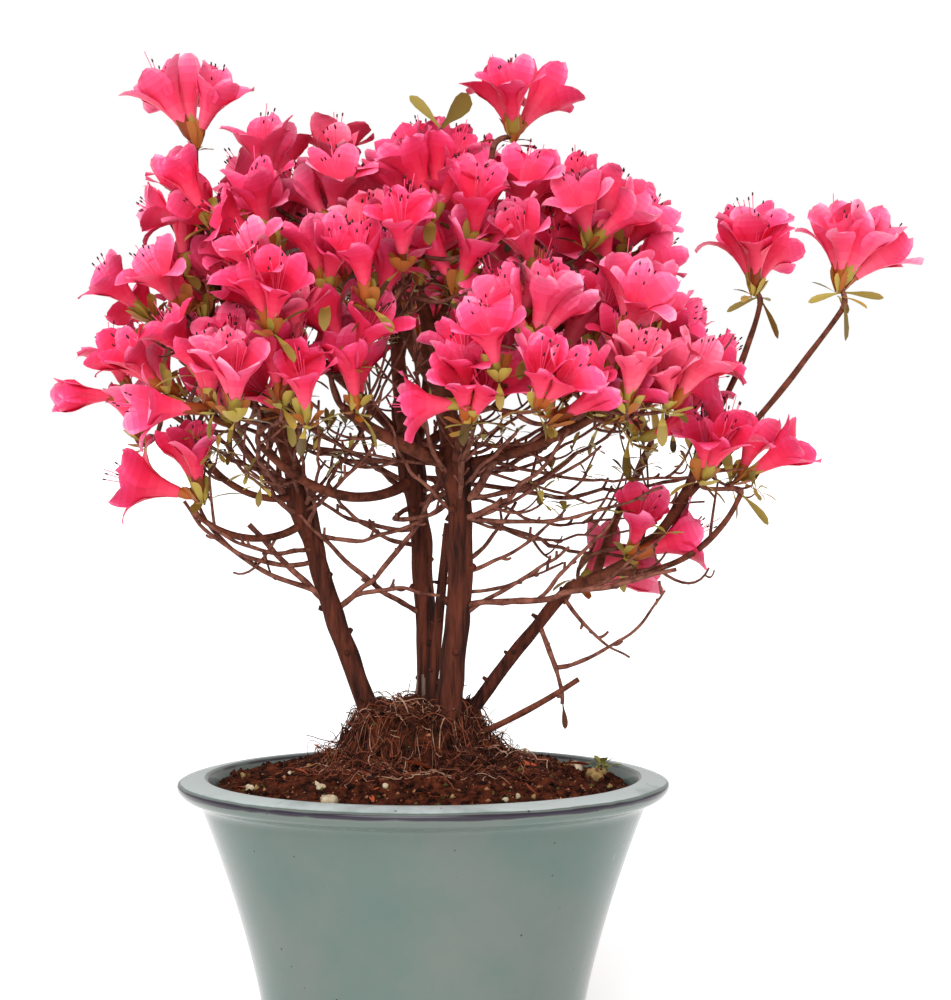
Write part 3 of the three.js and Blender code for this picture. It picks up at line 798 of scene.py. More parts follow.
@dataclass
class Crown:
    """Twig tips and the flowers on them, by the rule of the model, carried on to finer side twigs."""

    framework: Framework
    heart: tuple[float, float, float] = (0, 18, 325)
    dome: float = 105.0
    tip_room: float = 40.0
    tip_rounds: int = 24
    side_room: float = 27.0
    side_rounds: int = 30
    side_back: float = 13.0
    side_out: float = 24.0
    mouth_reach: float = 31.0
    mouth_room: float = 35.0
    side_mouth_room: float = 29.0
    mouth_rounds: int = 60
    push: float = 0.25
    front: float = -40.0
    front_floor: float = 338.0
    front_pull: float = 0.65
    hub_share: float = 0.45
    third_flower: float = 0.35
    second_side_flower: float = 0.6
    buds: float = 0.07
    flower_lean: tuple[float, float] = (0.55, 0.9)
    flower_size: tuple[float, float] = (0.88, 1.1)
    single_growth: float = 0.08
    single_lift: float = 0.08
    lift: float = 0.62
    facing_lift: float = 0.8
    level_lift: float = 1.9
    nod_sideways: tuple[float, float] = (-0.28, 0.28)
    nod_forward: tuple[float, float] = (-0.3, 0.25)
    tips: Array = none_yet(0, 3)
    axes: Array = none_yet(0, 3)
    outward: Array = none_yet(0, 3)
    roots: Array = none_yet(0, 3)
    mass: Array = none_yet(0, kind=int)
    index: Array = none_yet(0, kind=int)
    truss: Array = none_yet(0, kind=int)
    ways: Array = none_yet(0, 3)
    sizes: Array = none_yet(0)
    rolls: Array = none_yet(0)
    spreads: Array = none_yet(0)

    def grow(self) -> None:
        """Lays tips and flowers, then side tips with flowers of their own, each clear of what is there."""
        self.lay_tips()
        count = len(self.tips)
        asked = np.array([MASSES[m].flowers for m in self.mass])
        usual = 2 + (chance(100 + np.arange(count), 1) < self.third_flower)
        self.lay_flowers(np.arange(count), np.where(asked > 0, asked, usual), self.mouth_room)
        self.lay_sides()
        sides = np.arange(count, len(self.tips))
        self.lay_flowers(sides, 1 + (chance(sides, 1) < self.second_side_flower), self.side_mouth_room)

    def extend(self, **more: Array) -> None:
        """Adds values to the end of the arrays that have these names."""
        for name, values in more.items():
            setattr(self, name, np.concatenate([getattr(self, name), values]))

    def lay_tips(self) -> None:
        """Sets the twig tips of each mass on a dome that faces out of the crown, a golden angle apart."""
        tips, axes, outs, masses, indices = [], [], [], [], []
        for m, mass in enumerate(MASSES):
            centre = np.array(mass.centre, dtype=float)
            out = unit(centre - np.array(self.heart))
            first, second = across(out)
            for i in range(mass.trusses):
                share = (i + 0.5) / mass.trusses
                polar = math.acos(1 - share * (1 - math.cos(math.radians(self.dome))))
                around = math.radians(mass.turn + 40 * float(chance(m + 1, i))) + i * GOLDEN
                ring = first * math.cos(around) + second * math.sin(around)
                spread = out * math.cos(polar) + ring * math.sin(polar)
                tips.append(centre + spread * np.array(mass.half))
                axes.append(unit(0.5 * out + 0.6 * (spread if mass.trusses > 1 else UP) + 0.35 * UP))
                outs.append(out)
                masses.append(m)
                indices.append(i)
        self.tips, self.axes, self.outward = np.array(tips), np.array(axes), np.array(outs)
        self.mass, self.index = np.array(masses), np.array(indices)
        loose = self.loose()[:, None]
        for _ in range(self.tip_rounds):
            self.tips = self.tips + loose * pushes(self.tips, self.tip_room, self.push)
        self.raise_front()
        self.roots = np.array([self.hub(MASSES[m]) for m in masses])

    def raise_front(self) -> None:
        """Draws the front tips of the high masses that lie under the front's floor towards it."""
        high = np.array([MASSES[m].centre[2] > self.front_floor - 10 for m in self.mass])
        lack = np.maximum(self.front_floor - self.tips[:, 2], 0) * (self.tips[:, 1] < self.front) * high
        self.tips[:, 2] += self.front_pull * lack

    def loose(self) -> Array:
        """Tells which tips belong to a mass of several."""
        return np.array([MASSES[m].trusses > 1 for m in self.mass])

    def hub(self, mass: Mass) -> Array:
        """Finds where a mass's twigs part: part of the way from its limb to its centre, or at its one tip."""
        start = self.framework.point(mass.on, mass.at)
        return start + (np.array(mass.centre) - start) * (self.hub_share if mass.trusses > 1 else 1.0)

    def bends(self) -> Array:
        """Finds the point that each tip's twig bends towards: straight back from the tip, half its length."""
        return self.tips - self.axes * 0.5 * np.linalg.norm(self.tips - self.roots, axis=-1, keepdims=True)

    def lay_sides(self) -> None:
        """Sets a side tip beside each tip of a full mass, on a twig that leaves half way along."""
        own = np.flatnonzero([MASSES[m].trusses > 2 for m in self.mass])
        fixed = len(self.tips)
        ring = spoke(self.axes[own], own * GOLDEN + 2 * np.pi * chance(own + 800, 1))
        half_way = 0.25 * self.roots[own] + 0.5 * self.bends()[own] + 0.25 * self.tips[own]
        self.extend(
            tips=self.tips[own] - self.side_back * self.axes[own] + self.side_out * ring,
            roots=half_way,
            axes=unit(0.6 * ring + 0.5 * self.axes[own] + 0.4 * UP),
            outward=self.outward[own],
            mass=self.mass[own],
            index=self.index[own] + 7,
        )
        for _ in range(self.side_rounds):
            self.tips[fixed:] += pushes(self.tips, self.side_room, self.push)[fixed:]
        self.raise_front()

    def lay_flowers(self, chosen: Array, counts: Array, room: float) -> None:
        """Fans flowers round some tips, lifts them to the light, gives them room and lets each nod its way.

        Args:
            chosen: numbers of the tips.
            counts: flowers on each.
            room: between mouths.
        """
        truss = np.repeat(chosen, counts)
        k = np.arange(len(truss)) - np.repeat(np.cumsum(counts) - counts, counts)
        seed = 100 + truss
        axis = self.axes[truss]
        own = [MASSES[m] for m in self.mass[truss]]
        first, second = across(axis)
        sweep = heading(np.array([mass.turn for mass in own]), np.zeros(len(truss)))
        phase = np.arctan2((sweep * second).sum(-1), (sweep * first).sum(-1)) + self.index[truss] * GOLDEN
        around = phase + 2 * np.pi * (k + 0.3 * chance(seed, 2 + k)) / np.repeat(counts, counts)
        crowd = np.repeat(1 + 0.4 * np.maximum(counts - 2, 0), counts)
        lean = (crowd * between(*self.flower_lean, seed, 6 + k))[:, None]
        fan = spoke(axis, around)
        aim = np.array([[mass.lean, 0.0, 0.0] for mass in own])
        raw = unit(axis + 0.2 * self.outward[truss] + lean * fan + aim)
        fixed = len(self.ways)
        single = np.array([[mass.trusses == 1] for mass in own])
        facing = np.abs(self.outward[truss][:, 1:2])
        lift = np.where(single, self.single_lift, self.lift + self.facing_lift * facing)
        larger = self.single_growth * single[:, 0] * np.repeat(np.maximum(counts - 2, 1), counts)
        spread = between(Bloom.OPENING.value, Bloom.OPEN.value, seed, 18 + k)
        self.extend(
            ways=unit(raw + lift * UP),
            truss=truss,
            sizes=between(*self.flower_size, seed, 10 + k) + larger,
            rolls=2 * np.pi * chance(seed, 14 + k),
            spreads=np.where(chance(seed, 22 + k) < self.buds, Bloom.BUD.value, spread),
        )
        for _ in range(self.mouth_rounds):
            mouths = self.tips[self.truss] + self.mouth_reach * self.ways
            push = pushes(mouths, room, self.push)[fixed:]
            self.ways[fixed:] = unit(self.ways[fixed:] + push / self.mouth_reach)
        level = np.maximum(np.abs(self.ways[fixed:, 1:2]) - 0.2, 0)
        self.ways[fixed:] = unit(self.ways[fixed:] + self.level_lift * level * UP)
        sideways = between(*self.nod_sideways, seed, 26 + k)
        forward = between(*self.nod_forward, seed, 30 + k)
        nod = np.stack([sideways, forward, 0 * k], axis=-1)
        self.ways[fixed:] = unit(self.ways[fixed:] + nod)


@dataclass
class Pot:
    """The flared pot: a section turned round the upright axis.

    A bare edge is where its glaze thins: radius and height in the section, width, and strength.
    """

    foot: float = 84.0
    neck: float = 119.5
    neck_height: float = 129.0
    power: float = 1.42
    wall: float = 9.0
    floor: float = 12.0
    sides: int = 144
    rounds: int = 3
    lip: tuple[tuple[float, float], ...] = (
        (127.4, 131.6),
        (130.8, 135.0),
        (131.6, 138.2),
        (129.4, 140.0),
        (123.0, 141.6),
        (116.0, 142.4),
        (113.6, 139.4),
    )
    bare_edges: tuple[tuple[float, float, float, float], ...] = (
        (131.0, 137.6, 1.6, 1.2),
        (114.4, 140.8, 1.3, 0.8),
    )
    side_start: float = 6.0
    side_rows: int = 14
    inside_rows: int = 10
    # Where the painted highlight on the lip's top begins: radius and height in the section
    top_inside: float = 115.5
    top_height: float = 138.6

    def outside(self, z: Array) -> Array:
        """Gives the outer radius r(z) = foot + (neck - foot) (z / neck height) ^ power."""
        return self.foot + (self.neck - self.foot) * (z / self.neck_height) ** self.power

    def section(self) -> Array:
        """Draws the section from the foot over the lip to the floor inside, with its corners cut in rounds.

        Returns:
            Radius and height of each point.
        """
        rise = np.linspace(self.side_start, self.neck_height, self.side_rows)
        outer = np.stack([self.outside(rise), rise], axis=-1)
        fall = np.linspace(self.neck_height, self.floor + 3, self.inside_rows)
        inner = np.stack([self.outside(fall) - self.wall, fall], axis=-1)
        foot = np.array([[self.foot - 3.0, 0.0], [self.foot - 0.6, 0.0], [self.foot + 0.3, 1.4]])
        middle = np.array([[self.outside(self.floor) - self.wall - 4, self.floor]])
        line = np.concatenate([foot, outer, np.array(self.lip), inner, middle])
        for _ in range(self.rounds):
            near = 0.75 * line[:-1] + 0.25 * line[1:]
            far = 0.25 * line[:-1] + 0.75 * line[1:]
            cut = np.stack([near, far], axis=1)
            line = np.concatenate([line[:1], cut.reshape(-1, 2), line[-1:]])
        return line

    def build(self) -> bpy.types.Object:
        """Turns the section, P(i, j) = (r(i) cos a, r(i) sin a, z(i)), closed with a flat foot and floor.

        Returns:
            The piece.
        """
        line = self.section()
        turn = ring_angles(self.sides)
        height = np.broadcast_to(line[:, 1:], (len(line), self.sides))
        points = np.stack([line[:, :1] * np.cos(turn), line[:, :1] * np.sin(turn), height], axis=-1)
        pile = Pile()
        pile.add_closed(points[None])
        made = pile.piece("glazed_pot", [Glaze().material()], ["pot"])
        self.dress(made, line, points)
        return made

    def dress(self, made: bpy.types.Object, line: Array, points: Array) -> None:
        """Writes the glaze attribute: high along the bare edges, and low on the lip's top for a painted
        highlight.

        Args:
            made: the piece.
            line: its section.
            points: its surface.
        """
        thin = np.zeros(len(line))
        for radius, height, width, strength in self.bare_edges:
            away = np.hypot(line[:, 0] - radius, line[:, 1] - height) / width
            thin = thin + strength * np.exp(-(away**2))
        uneven = 0.95 + 0.3 * lumps(points, 14.0, 4) + 0.25 * lumps(points, 4.0, 6)
        # Painted highlight: the lip's flat top is pushed down to the pale stop of the glaze
        above = np.clip((line[:, 1] - self.top_height) / 1.2, 0, 1)
        top = above * np.clip((line[:, 0] - self.top_inside) / 1.5, 0, 1)
        top_highlight = 0.36 + 0.05 * lumps(points, 60.0, 3)
        values = (thin[:, None] * uneven - top_highlight * top[:, None]).astype(np.float32)
        made.data.attributes.new("thin_glaze", "FLOAT", "POINT").data.foreach_set("value", values.ravel())


SOILS = (
    # Dark crumbling bed with brown lights
    Finish("potting_soil", "#120603", "#5a2a18", 7, 1.6, 1.8, 0.95, shine=0.1),
    # Damp crumbs, nearly black
    Finish("moist_soil", "#140603", "#301208", 10, 1.4, 0.7, 0.9, shine=0.1),
    # Dry rusty grit that catches the light
    Finish("rusty_soil", "#744630", "#a47452", 6, 1.2, 0.5, 0.9, shine=0.1),
    # Scraps of dull green
    Finish("dry_moss", "#3d3719", "#5d5529", 5, 1.0, 0.6, 0.95, shine=0.1),
)
ROOTS = (
    # Old roots, as dark as the soil
    Finish("dark_root", "#29110a", "#461f12", 8, 1.5, 0.1, 0.85),
    # Living roots, red-brown
    Finish("red_root", "#623020", "#82462f", 8, 1.5, 0.1, 0.85),
    # Dry fibres that stand out pale
    Finish("pale_root", "#94684f", "#bd9880", 8, 1.5, 0.1, 0.85),
)
LITTER = (
    # Pale porous stones
    Finish("pumice", "#c4b69c", "#9c8a6c", 3, 0.8, 0.4, 0.95),
    # Stones stained by the soil
    Finish("stained_pumice", "#9c8252", "#6d5634", 3, 0.8, 0.4, 0.95),
    # Withered petals and leaves, rust red
    Tissue("fallen_petal", "#a2492a", 0.7),
    # Older petals, brown
    Tissue("dry_petal", "#7c3a24", 0.8),
    # One small weed
    Tissue("sprout_green", "#7d7a3c", 0.5),
)


@dataclass
class Ground:
    """Soil in the pot and the root ball that stands up out of it.

    A dead leaf is its place across and in depth, azimuth, elevation, length, and roll in radians.
    """

    edge: float = 110.0
    edge_height: float = 136.0
    front_rise: float = 3.0
    shift: float = -2.0
    radii: tuple[float, ...] = (0, 16, 25, 31, 35.5, 39.5, 45, 53, 66, 80, 95, 110)
    heights: tuple[float, ...] = (182, 181, 179, 174, 166, 157.5, 152, 149.5, 147, 144, 140, 136)
    bed_rows: int = 96
    bed_columns: int = 200
    skirt: float = 0.94
    skirt_height: float = 104.0
    crumbs: int = 4200
    crumb_shares: tuple[float, ...] = (0.36, 0.66, 0.86)
    pale_size: float = 0.6
    fibres: int = 1500
    fibre_rows: int = 18
    hairs: int = 150
    hair_rows: int = 12
    stones: int = 26
    fallen: int = 34
    sprout: tuple[float, float] = (96.0, 14.0)
    sprout_height: float = 7.0
    sprout_leaves: int = 11
    dead_leaves: tuple[tuple[float, ...], ...] = (
        (-4, -38, 20, -10, 15, 0.7),
        (8, -47, 160, 20, 17, -0.6),
        (72, -15, 10, 5, 16, 0.4),
        (60, -28, 200, 15, 13, 0.5),
        (-20, -44, 250, -30, 14, -0.3),
    )

    def surface(self, x: Array, y: Array) -> Array:
        """Gives the height of the ground.

        Args:
            x: places across.
            y: places in depth.

        Returns:
            Heights: the section of the root ball and its apron, read at a radius that noise moves in and out.
        """
        flat = np.stack([x, y, 0 * x], axis=-1)
        radius = np.hypot(x - self.shift, y) + 5.0 * lumps(flat, 24, 8) + 2.0 * lumps(flat, 9, 9)
        edge = self.edge_height - self.front_rise * np.clip(y / self.edge, -1, 0.3)
        apron = np.clip((radius - self.radii[-3]) / (self.radii[-1] - self.radii[-3]), 0, 1)
        height = np.interp(radius, self.radii, self.heights) + (edge - self.heights[-1]) * apron
        place = np.stack([x, y, height], axis=-1)
        inside = np.clip((self.edge - np.hypot(x, y)) / 8, 0, 1)
        relief = 2.6 * lumps(place, 17, 1) + 2.8 * lumps(place, 8, 2) + 1.4 * lumps(place, 3, 3)
        return height + inside * relief

    def scatter(self, count: int, seed: float, inner: float, outer: float) -> Array:
        """Scatters points on the ground, evenly over its area.

        Args:
            count: how many.
            seed: which pattern.
            inner: least radius.
            outer: greatest radius.

        Returns:
            Shape (count, 3).
        """
        i = np.arange(count)
        radius = np.sqrt(between(inner**2, outer**2, i + seed, 1))
        angle = i * GOLDEN + between(-0.6, 0.6, i + seed, 2)
        x = radius * np.cos(angle)
        y = radius * np.sin(angle)
        return np.stack([x, y, self.surface(x, y)], axis=-1)

    def build(self) -> list[bpy.types.Object]:
        """Builds the ground, and what lies on it.

        Returns:
            The pieces.
        """
        return [self.bed(), self.roots(), self.litter()]

    def bed(self) -> bpy.types.Object:
        """Builds the ground as a polar grid, closed below by a skirt and a floor, with crumbs of soil on it.

        Returns:
            The piece.
        """
        radius = np.linspace(0.4, self.edge - 0.3, self.bed_rows)[:, None]
        turn = ring_angles(self.bed_columns)[None, :]
        x = radius * np.cos(turn)
        y = radius * np.sin(turn)
        top = np.stack([x, y, self.surface(x, y)], axis=-1)
        low = np.full(self.bed_columns, self.skirt_height)
        skirt = np.stack([x[-1] * self.skirt, y[-1] * self.skirt, low], axis=-1)[None]
        pile = Pile()
        pile.add_closed(np.concatenate([top, skirt])[::-1][None])
        i = np.arange(self.crumbs)
        place = self.scatter(self.crumbs, 11, 2, self.edge - 3)
        kind = np.searchsorted(self.crumb_shares, chance(i, 22))
        size = 0.6 + 2.3 * chance(i, 21) ** 3
        size = size * np.where(kind > 1, self.pale_size, 1.0)
        pile.add(*pebbles(place, size, 31), np.repeat(kind, 8))
        return pile.piece("soil_and_roots", materials_of(SOILS), ["soil_and_root_ball"])

    def roots(self) -> bpy.types.Object:
        """Lays fine roots that wander down the root ball and over the soil.

        Returns:
            The piece.
        """
        i = np.arange(self.fibres)
        start = self.scatter(self.fibres, 41, 8, 66)
        out = np.hypot(start[:, 0], start[:, 1])
        angle = np.arctan2(start[:, 1], start[:, 0]) + between(-2.4, 2.4, i, 43)
        length = 7 + 34 * chance(i, 44) ** 2
        s = np.linspace(-0.5, 0.5, self.fibre_rows)[None, :]
        x = start[:, :1] + length[:, None] * s * np.cos(angle)[:, None]
        y = start[:, 1:2] + length[:, None] * s * np.sin(angle)[:, None]
        rough = np.stack([x, y, 40.0 * i[:, None] + 0 * x], axis=-1)
        x = x + 4.5 * lumps(rough, 6, 12)
        y = y + 4.5 * lumps(rough, 6, 13)
        inside = np.minimum(1.0, (self.edge - 4) / np.maximum(np.hypot(x, y), 1e-6))
        x, y = x * inside, y * inside
        loose = np.where(out < 56, 6.0, 2.2) * chance(i, 47) ** 2
        lift = loose[:, None] * np.cos(np.pi * s) * (1 + lumps(rough, 5, 14)) + 0.3
        outward = np.stack([x, y], axis=-1) / np.maximum(np.hypot(x, y), 1e-6)[..., None]
        steep = np.where(out < 62, 0.8, 0.1)[:, None]
        away = outward * lift[..., None] * steep[..., None]
        path = np.stack([x + away[..., 0], y + away[..., 1], self.surface(x, y) + lift * 0.7], axis=-1)
        taper = np.linspace(1.1, 0.7, self.fibre_rows)[None, :]
        radius = (0.16 + 0.4 * chance(i, 48) ** 2)[:, None] * taper
        pile = Pile()
        pile.add_tubes(path, radius, 3, np.searchsorted([0.55, 0.92], chance(i, 49)))
        self.wisps(pile)
        return pile.piece("fine_roots", materials_of(ROOTS), [])

    def wisps(self, pile: Pile) -> None:
        """Adds loose hairs that stand out from the root ball, P(s) = A + s L W + s C, and curl by noise C.

        Args:
            pile: gathers them.
        """
        i = np.arange(self.hairs)
        start = self.scatter(self.hairs, 91, 22, 46)
        out = np.degrees(np.arctan2(start[:, 1], start[:, 0]))
        way = heading(out + between(-60, 60, i, 92), between(-20, 50, i, 93))
        s = np.linspace(0, 1, self.hair_rows)[None, :, None]
        path = start[:, None] + way[:, None] * s * (5 + 24 * chance(i, 94) ** 3)[:, None, None]
        curl = wander(path + 40.0 * i[:, None, None], 6, 95)
        radius = np.linspace(0.34, 0.2, self.hair_rows)[None, :] * between(0.7, 1.3, i, 98)[:, None]
        pile.add_tubes(path + 3.0 * s * curl, radius, 3, np.searchsorted([0.3, 0.7], chance(i, 99)))

    def litter(self) -> bpy.types.Object:
        """Lays pumice stones, fallen petals, dead leaves and a sprout on the soil.

        Returns:
            The piece.
        """
        pile = Pile()
        i = np.arange(self.stones)
        place = self.scatter(self.stones, 61, 78, self.edge - 7)
        radius = 1.2 + 3.2 * chance(i, 62) ** 2
        pile.add_balls(place + UP * 0.8, radius, (chance(i, 64) * 2).astype(int), 0.6)
        j = np.arange(self.fallen)
        spot = self.scatter(self.fallen, 71, 34, self.edge - 8)
        way = heading(360 * chance(j, 72), between(-12, 25, j, 73))
        length = between(7, 13, j, 74)
        width = between(2.4, 4, j, 75)
        petals = blades(spot + UP * 1.5, way, length, width, between(-0.3, 0.4, j, 76))
        pile.add_grids(petals, 2 + (chance(j, 77) * 2).astype(int))
        x, y, azimuth, elevation, length, roll = np.array(self.dead_leaves).T
        base = np.stack([x, y, self.surface(x, y) + 2.5], axis=-1)
        way = heading(azimuth, elevation)
        pile.add_grids(blades(base, way, length, 0.45 * length, 0.15 + 0 * length, roll=roll), 2)
        self.weed(pile)
        return pile.piece("stones_and_fallen_petals", materials_of(LITTER), [])

    def weed(self, pile: Pile) -> None:
        """Adds a sprout: leaflets round a crown, each on a straight stalk from one foot.

        Args:
            pile: gathers it.
        """
        n = np.arange(self.sprout_leaves)
        foot = np.array([*self.sprout, float(self.surface(*map(np.array, self.sprout))) - 4])
        way = heading(360 * chance(n, 78), between(10, 75, n, 79))
        crown = UP * self.sprout_height
        length = between(4, 8, n, 80)
        width = between(4, 7, n, 81)
        pile.add_grids(blades(foot + crown + 3 * way, way, length, width, 0.2 + 0 * n), 4)
        stalks = foot + np.linspace(0, 1, 4)[None, :, None] * (crown + 4 * way)[:, None]
        pile.add_tubes(stalks, np.full((len(n), 4), 0.4), 4, 4)


def pebbles(places: Array, sizes: Array, seed: float) -> tuple[Array, Array]:
    """Makes eight-faced lumps: the six ends of three crossed axes, each at a length of its own.

    Args:
        places: centres, shape (count, 3).
        sizes: mean radii.
        seed: which pattern.

    Returns:
        Points, and faces by point number.
    """
    count = len(places)
    i = np.arange(count)[:, None]
    turn = between(0, np.pi, np.arange(count) + seed, 5)
    first = np.stack([np.cos(turn), np.sin(turn), np.zeros(count)], axis=-1)
    second = np.stack([-np.sin(turn), np.cos(turn), np.zeros(count)], axis=-1)
    third = np.broadcast_to(UP, (count, 3))
    ends = np.stack([first, second, -first, -second, third, -third], axis=1)
    reach = sizes[:, None] * between(0.7, 1.3, i + seed, np.arange(6)[None, :] + 7)
    reach[:, 4:] *= 0.8
    faces = np.array([[0, 1, 4], [1, 2, 4], [2, 3, 4], [3, 0, 4], [1, 0, 5], [2, 1, 5], [3, 2, 5], [0, 3, 5]])
    points = places[:, None] + ends * reach[..., None]
    return points, (np.arange(count)[:, None, None] * 6 + faces).reshape(-1, 3)


def blades(
    base: Array,
    way: Array,
    length: Array,
    width: Array,
    droop: Array,
    fold: float = 0.25,
    neck: float = 0.0,
    roll: Array | float = 0.0,
) -> Array:
    """Makes leaf blades as grids of six rows by three points.

    A blade is P(s, v) = B + L (s W - D s^2 N) + w(s) (v A + f |v| N): B is its base and W its way, A lies
    across it and N stands on it. Past its neck w grows as q^0.8 and closes as (1 - q^3)^0.5, with q the
    share of what is left of the length, so it is widest past the middle.

    Args:
        base: shape (count, 3).
        way: unit directions.
        length: of each blade.
        width: breadth; the blade is about three quarters of it at its widest.
        droop: how far the tip falls, as a share of the length.
        fold: how far the edges stand up, as a share of the half width.
        neck: share of the length that is a narrow stalk.
        roll: turn of each blade about its length, in radians.

    Returns:
        Shape (count, 6, 3, 3).
    """
    level = unit(np.cross(way, UP) + 1e-6)
    turn = np.broadcast_to(np.asarray(roll, dtype=float), len(way))[:, None]
    side = level * np.cos(turn) + np.cross(level, way) * np.sin(turn)
    stand = np.cross(side, way)
    s = np.array([0.0, 0.22, 0.48, 0.72, 0.9, 1.0])[None, :, None, None]
    v = np.array([-1.0, 0.0, 1.0])[None, None, :, None]
    q = np.clip((s - neck) / (1 - neck), 0, 1)
    half = np.maximum(q**0.8 * np.sqrt(1 - q**3), 0.12) * 0.62 * width[:, None, None, None]
    spine = base[:, None, None] + length[:, None, None, None] * (
        s * way[:, None, None] - (droop[:, None, None, None] * s**2) * stand[:, None, None]
    )
    return spine + half * (v * side[:, None, None] + fold * np.abs(v) * stand[:, None, None])


STEM_BARKS = (
    # Furrowed bark: red-brown ridges over dark grooves
    Finish("azalea_bark", "#27100a", "#5f2d1e", 4, 1.0, 1.2, 0.85, (1.0, 1.0, 0.1), 0.2),
    # The same bark gone grey in streaks
    Finish("weathered_bark", "#5c463c", "#8d7a6d", 4, 1.0, 1.2, 0.9, (1.0, 1.0, 0.1), 0.2),
)
# Younger bark, smoother and warmer
BOUGH_BARK = Finish("bough_bark", "#401d0e", "#703a28", 6, 1.0, 0.5, 0.8)
# Thin dry twigs, lighter
TWIG_BARK = Finish("twig_bark", "#4a2319", "#865343", 5, 1.0, 0.2, 0.8)


@dataclass
class Woodwork:
    """Stems and boughs with bark relief, each joined to the limb that it grows on."""

    framework: Framework
    stem_sides: int = 44
    bough_sides: int = 16
    knots_per_stem: int = 9
    step: float = 1.6
    grey_stem: str = "back_stem"
    grey_height: float = 42.0

    def limb(
        self, pile: Pile, limb: Limb, sides: int, flare: float, flare_length: float, weathered: float = 0.0
    ) -> None:
        """Adds one limb: a bar whose radius carries long furrows, flaking plates and swellings at its forks.

        Args:
            pile: gathers the surface.
            limb: what to add.
            sides: corners of its section.
            flare: how much wider its foot is.
            flare_length: over what length.
            weathered: height above its lower end up to which its bark has gone grey in streaks.
        """
        rows = int(limb.length / self.step)
        shares = np.linspace(0, 1, rows)
        path = along(self.framework.lines[limb.name], shares)
        wobble = np.stack([lumps(path, 19, 5), lumps(path, 19, 6), np.zeros(rows)], axis=-1)
        wobble = 0.12 * limb.radius[0] * wobble * np.minimum(1, 6 * shares)[:, None]
        radius = limb.radius[0] + (limb.radius[1] - limb.radius[0]) * shares
        if limb.on and limb.at == 1:
            before = self.framework.limbs[limb.on].radius[1]
            radius = radius + (before - limb.radius[0]) * np.exp(-shares * limb.length / 14)
            pile.add_balls(path[:1], np.array([before * 1.02]))
        else:
            radius = radius * (1 + flare * np.exp(-shares * limb.length / flare_length))
        radius = radius * (1 + self.framework.swelling(limb.name, shares))
        turn = ring_angles(sides)
        mean = sum(limb.radius) / 2
        around = np.broadcast_to(np.stack([np.cos(turn), np.sin(turn)], axis=-1) * mean, (rows, sides, 2))
        height = np.broadcast_to((shares * limb.length)[:, None, None], (rows, sides, 1))
        furrow = lumps(np.concatenate([around, height * 0.13], axis=-1), 1.7, limb.length)
        plate = lumps(np.concatenate([around, height * 0.4], axis=-1), 4.6, limb.length + 7)
        relief = 0.09 * mean * furrow + 0.1 * mean * plate - 0.03 * mean
        streak = lumps(np.concatenate([around, height * 0.1], axis=-1), 1.8, 5)
        tint = np.zeros(streak.shape, dtype=int)
        if weathered:
            tint = (streak > 0.1 + height[..., 0] / (1.3 * weathered)).astype(int)
        pile.add_tubes((path + wobble)[None], (radius[:, None] + relief)[None], sides, tint[:-1][None])

    def knots(self, pile: Pile) -> None:
        """Adds stubs of old cuts up the stems: short bars out of the middle, a golden angle apart.

        Args:
            pile: gathers them.
        """
        for limb in STEMS:
            i = np.arange(self.knots_per_stem)
            shares = (i + between(0.1, 0.9, i + limb.length, 1)) / self.knots_per_stem * 0.85 + 0.12
            start = along(self.framework.lines[limb.name], shares)
            way = heading(np.degrees(i * GOLDEN) + limb.length, between(10, 45, i + limb.length, 2))
            reach = limb.radius[0] * between(1.15, 1.5, i + limb.length, 3) + 0.8
            path = start[:, None] + way[:, None] * reach[:, None, None] * np.linspace(0, 1, 4)[None, :, None]
            radius = 0.34 * limb.radius[0] * np.array([1.5, 1.2, 0.95, 0.7])[None, :] * np.ones((len(i), 1))
            pile.add_tubes(path, radius, 7)

    def build(self) -> list[bpy.types.Object]:
        """Builds the stems and the boughs.

        Returns:
            One piece for each.
        """
        stems = Pile()
        boughs = Pile()
        for limb in STEMS:
            grey = self.grey_height if limb.name == self.grey_stem else 0.0
            self.limb(stems, limb, self.stem_sides, 0.1, 14, grey)
        self.knots(stems)
        for limb in (STUB, *BOUGHS):
            self.limb(boughs, limb, self.bough_sides, 0.12, 6)
        return [
            stems.piece("stems", materials_of(STEM_BARKS), [limb.name for limb in STEMS]),
            boughs.piece("boughs", [BOUGH_BARK.material()], [limb.name for limb in (STUB, *BOUGHS)]),
        ]


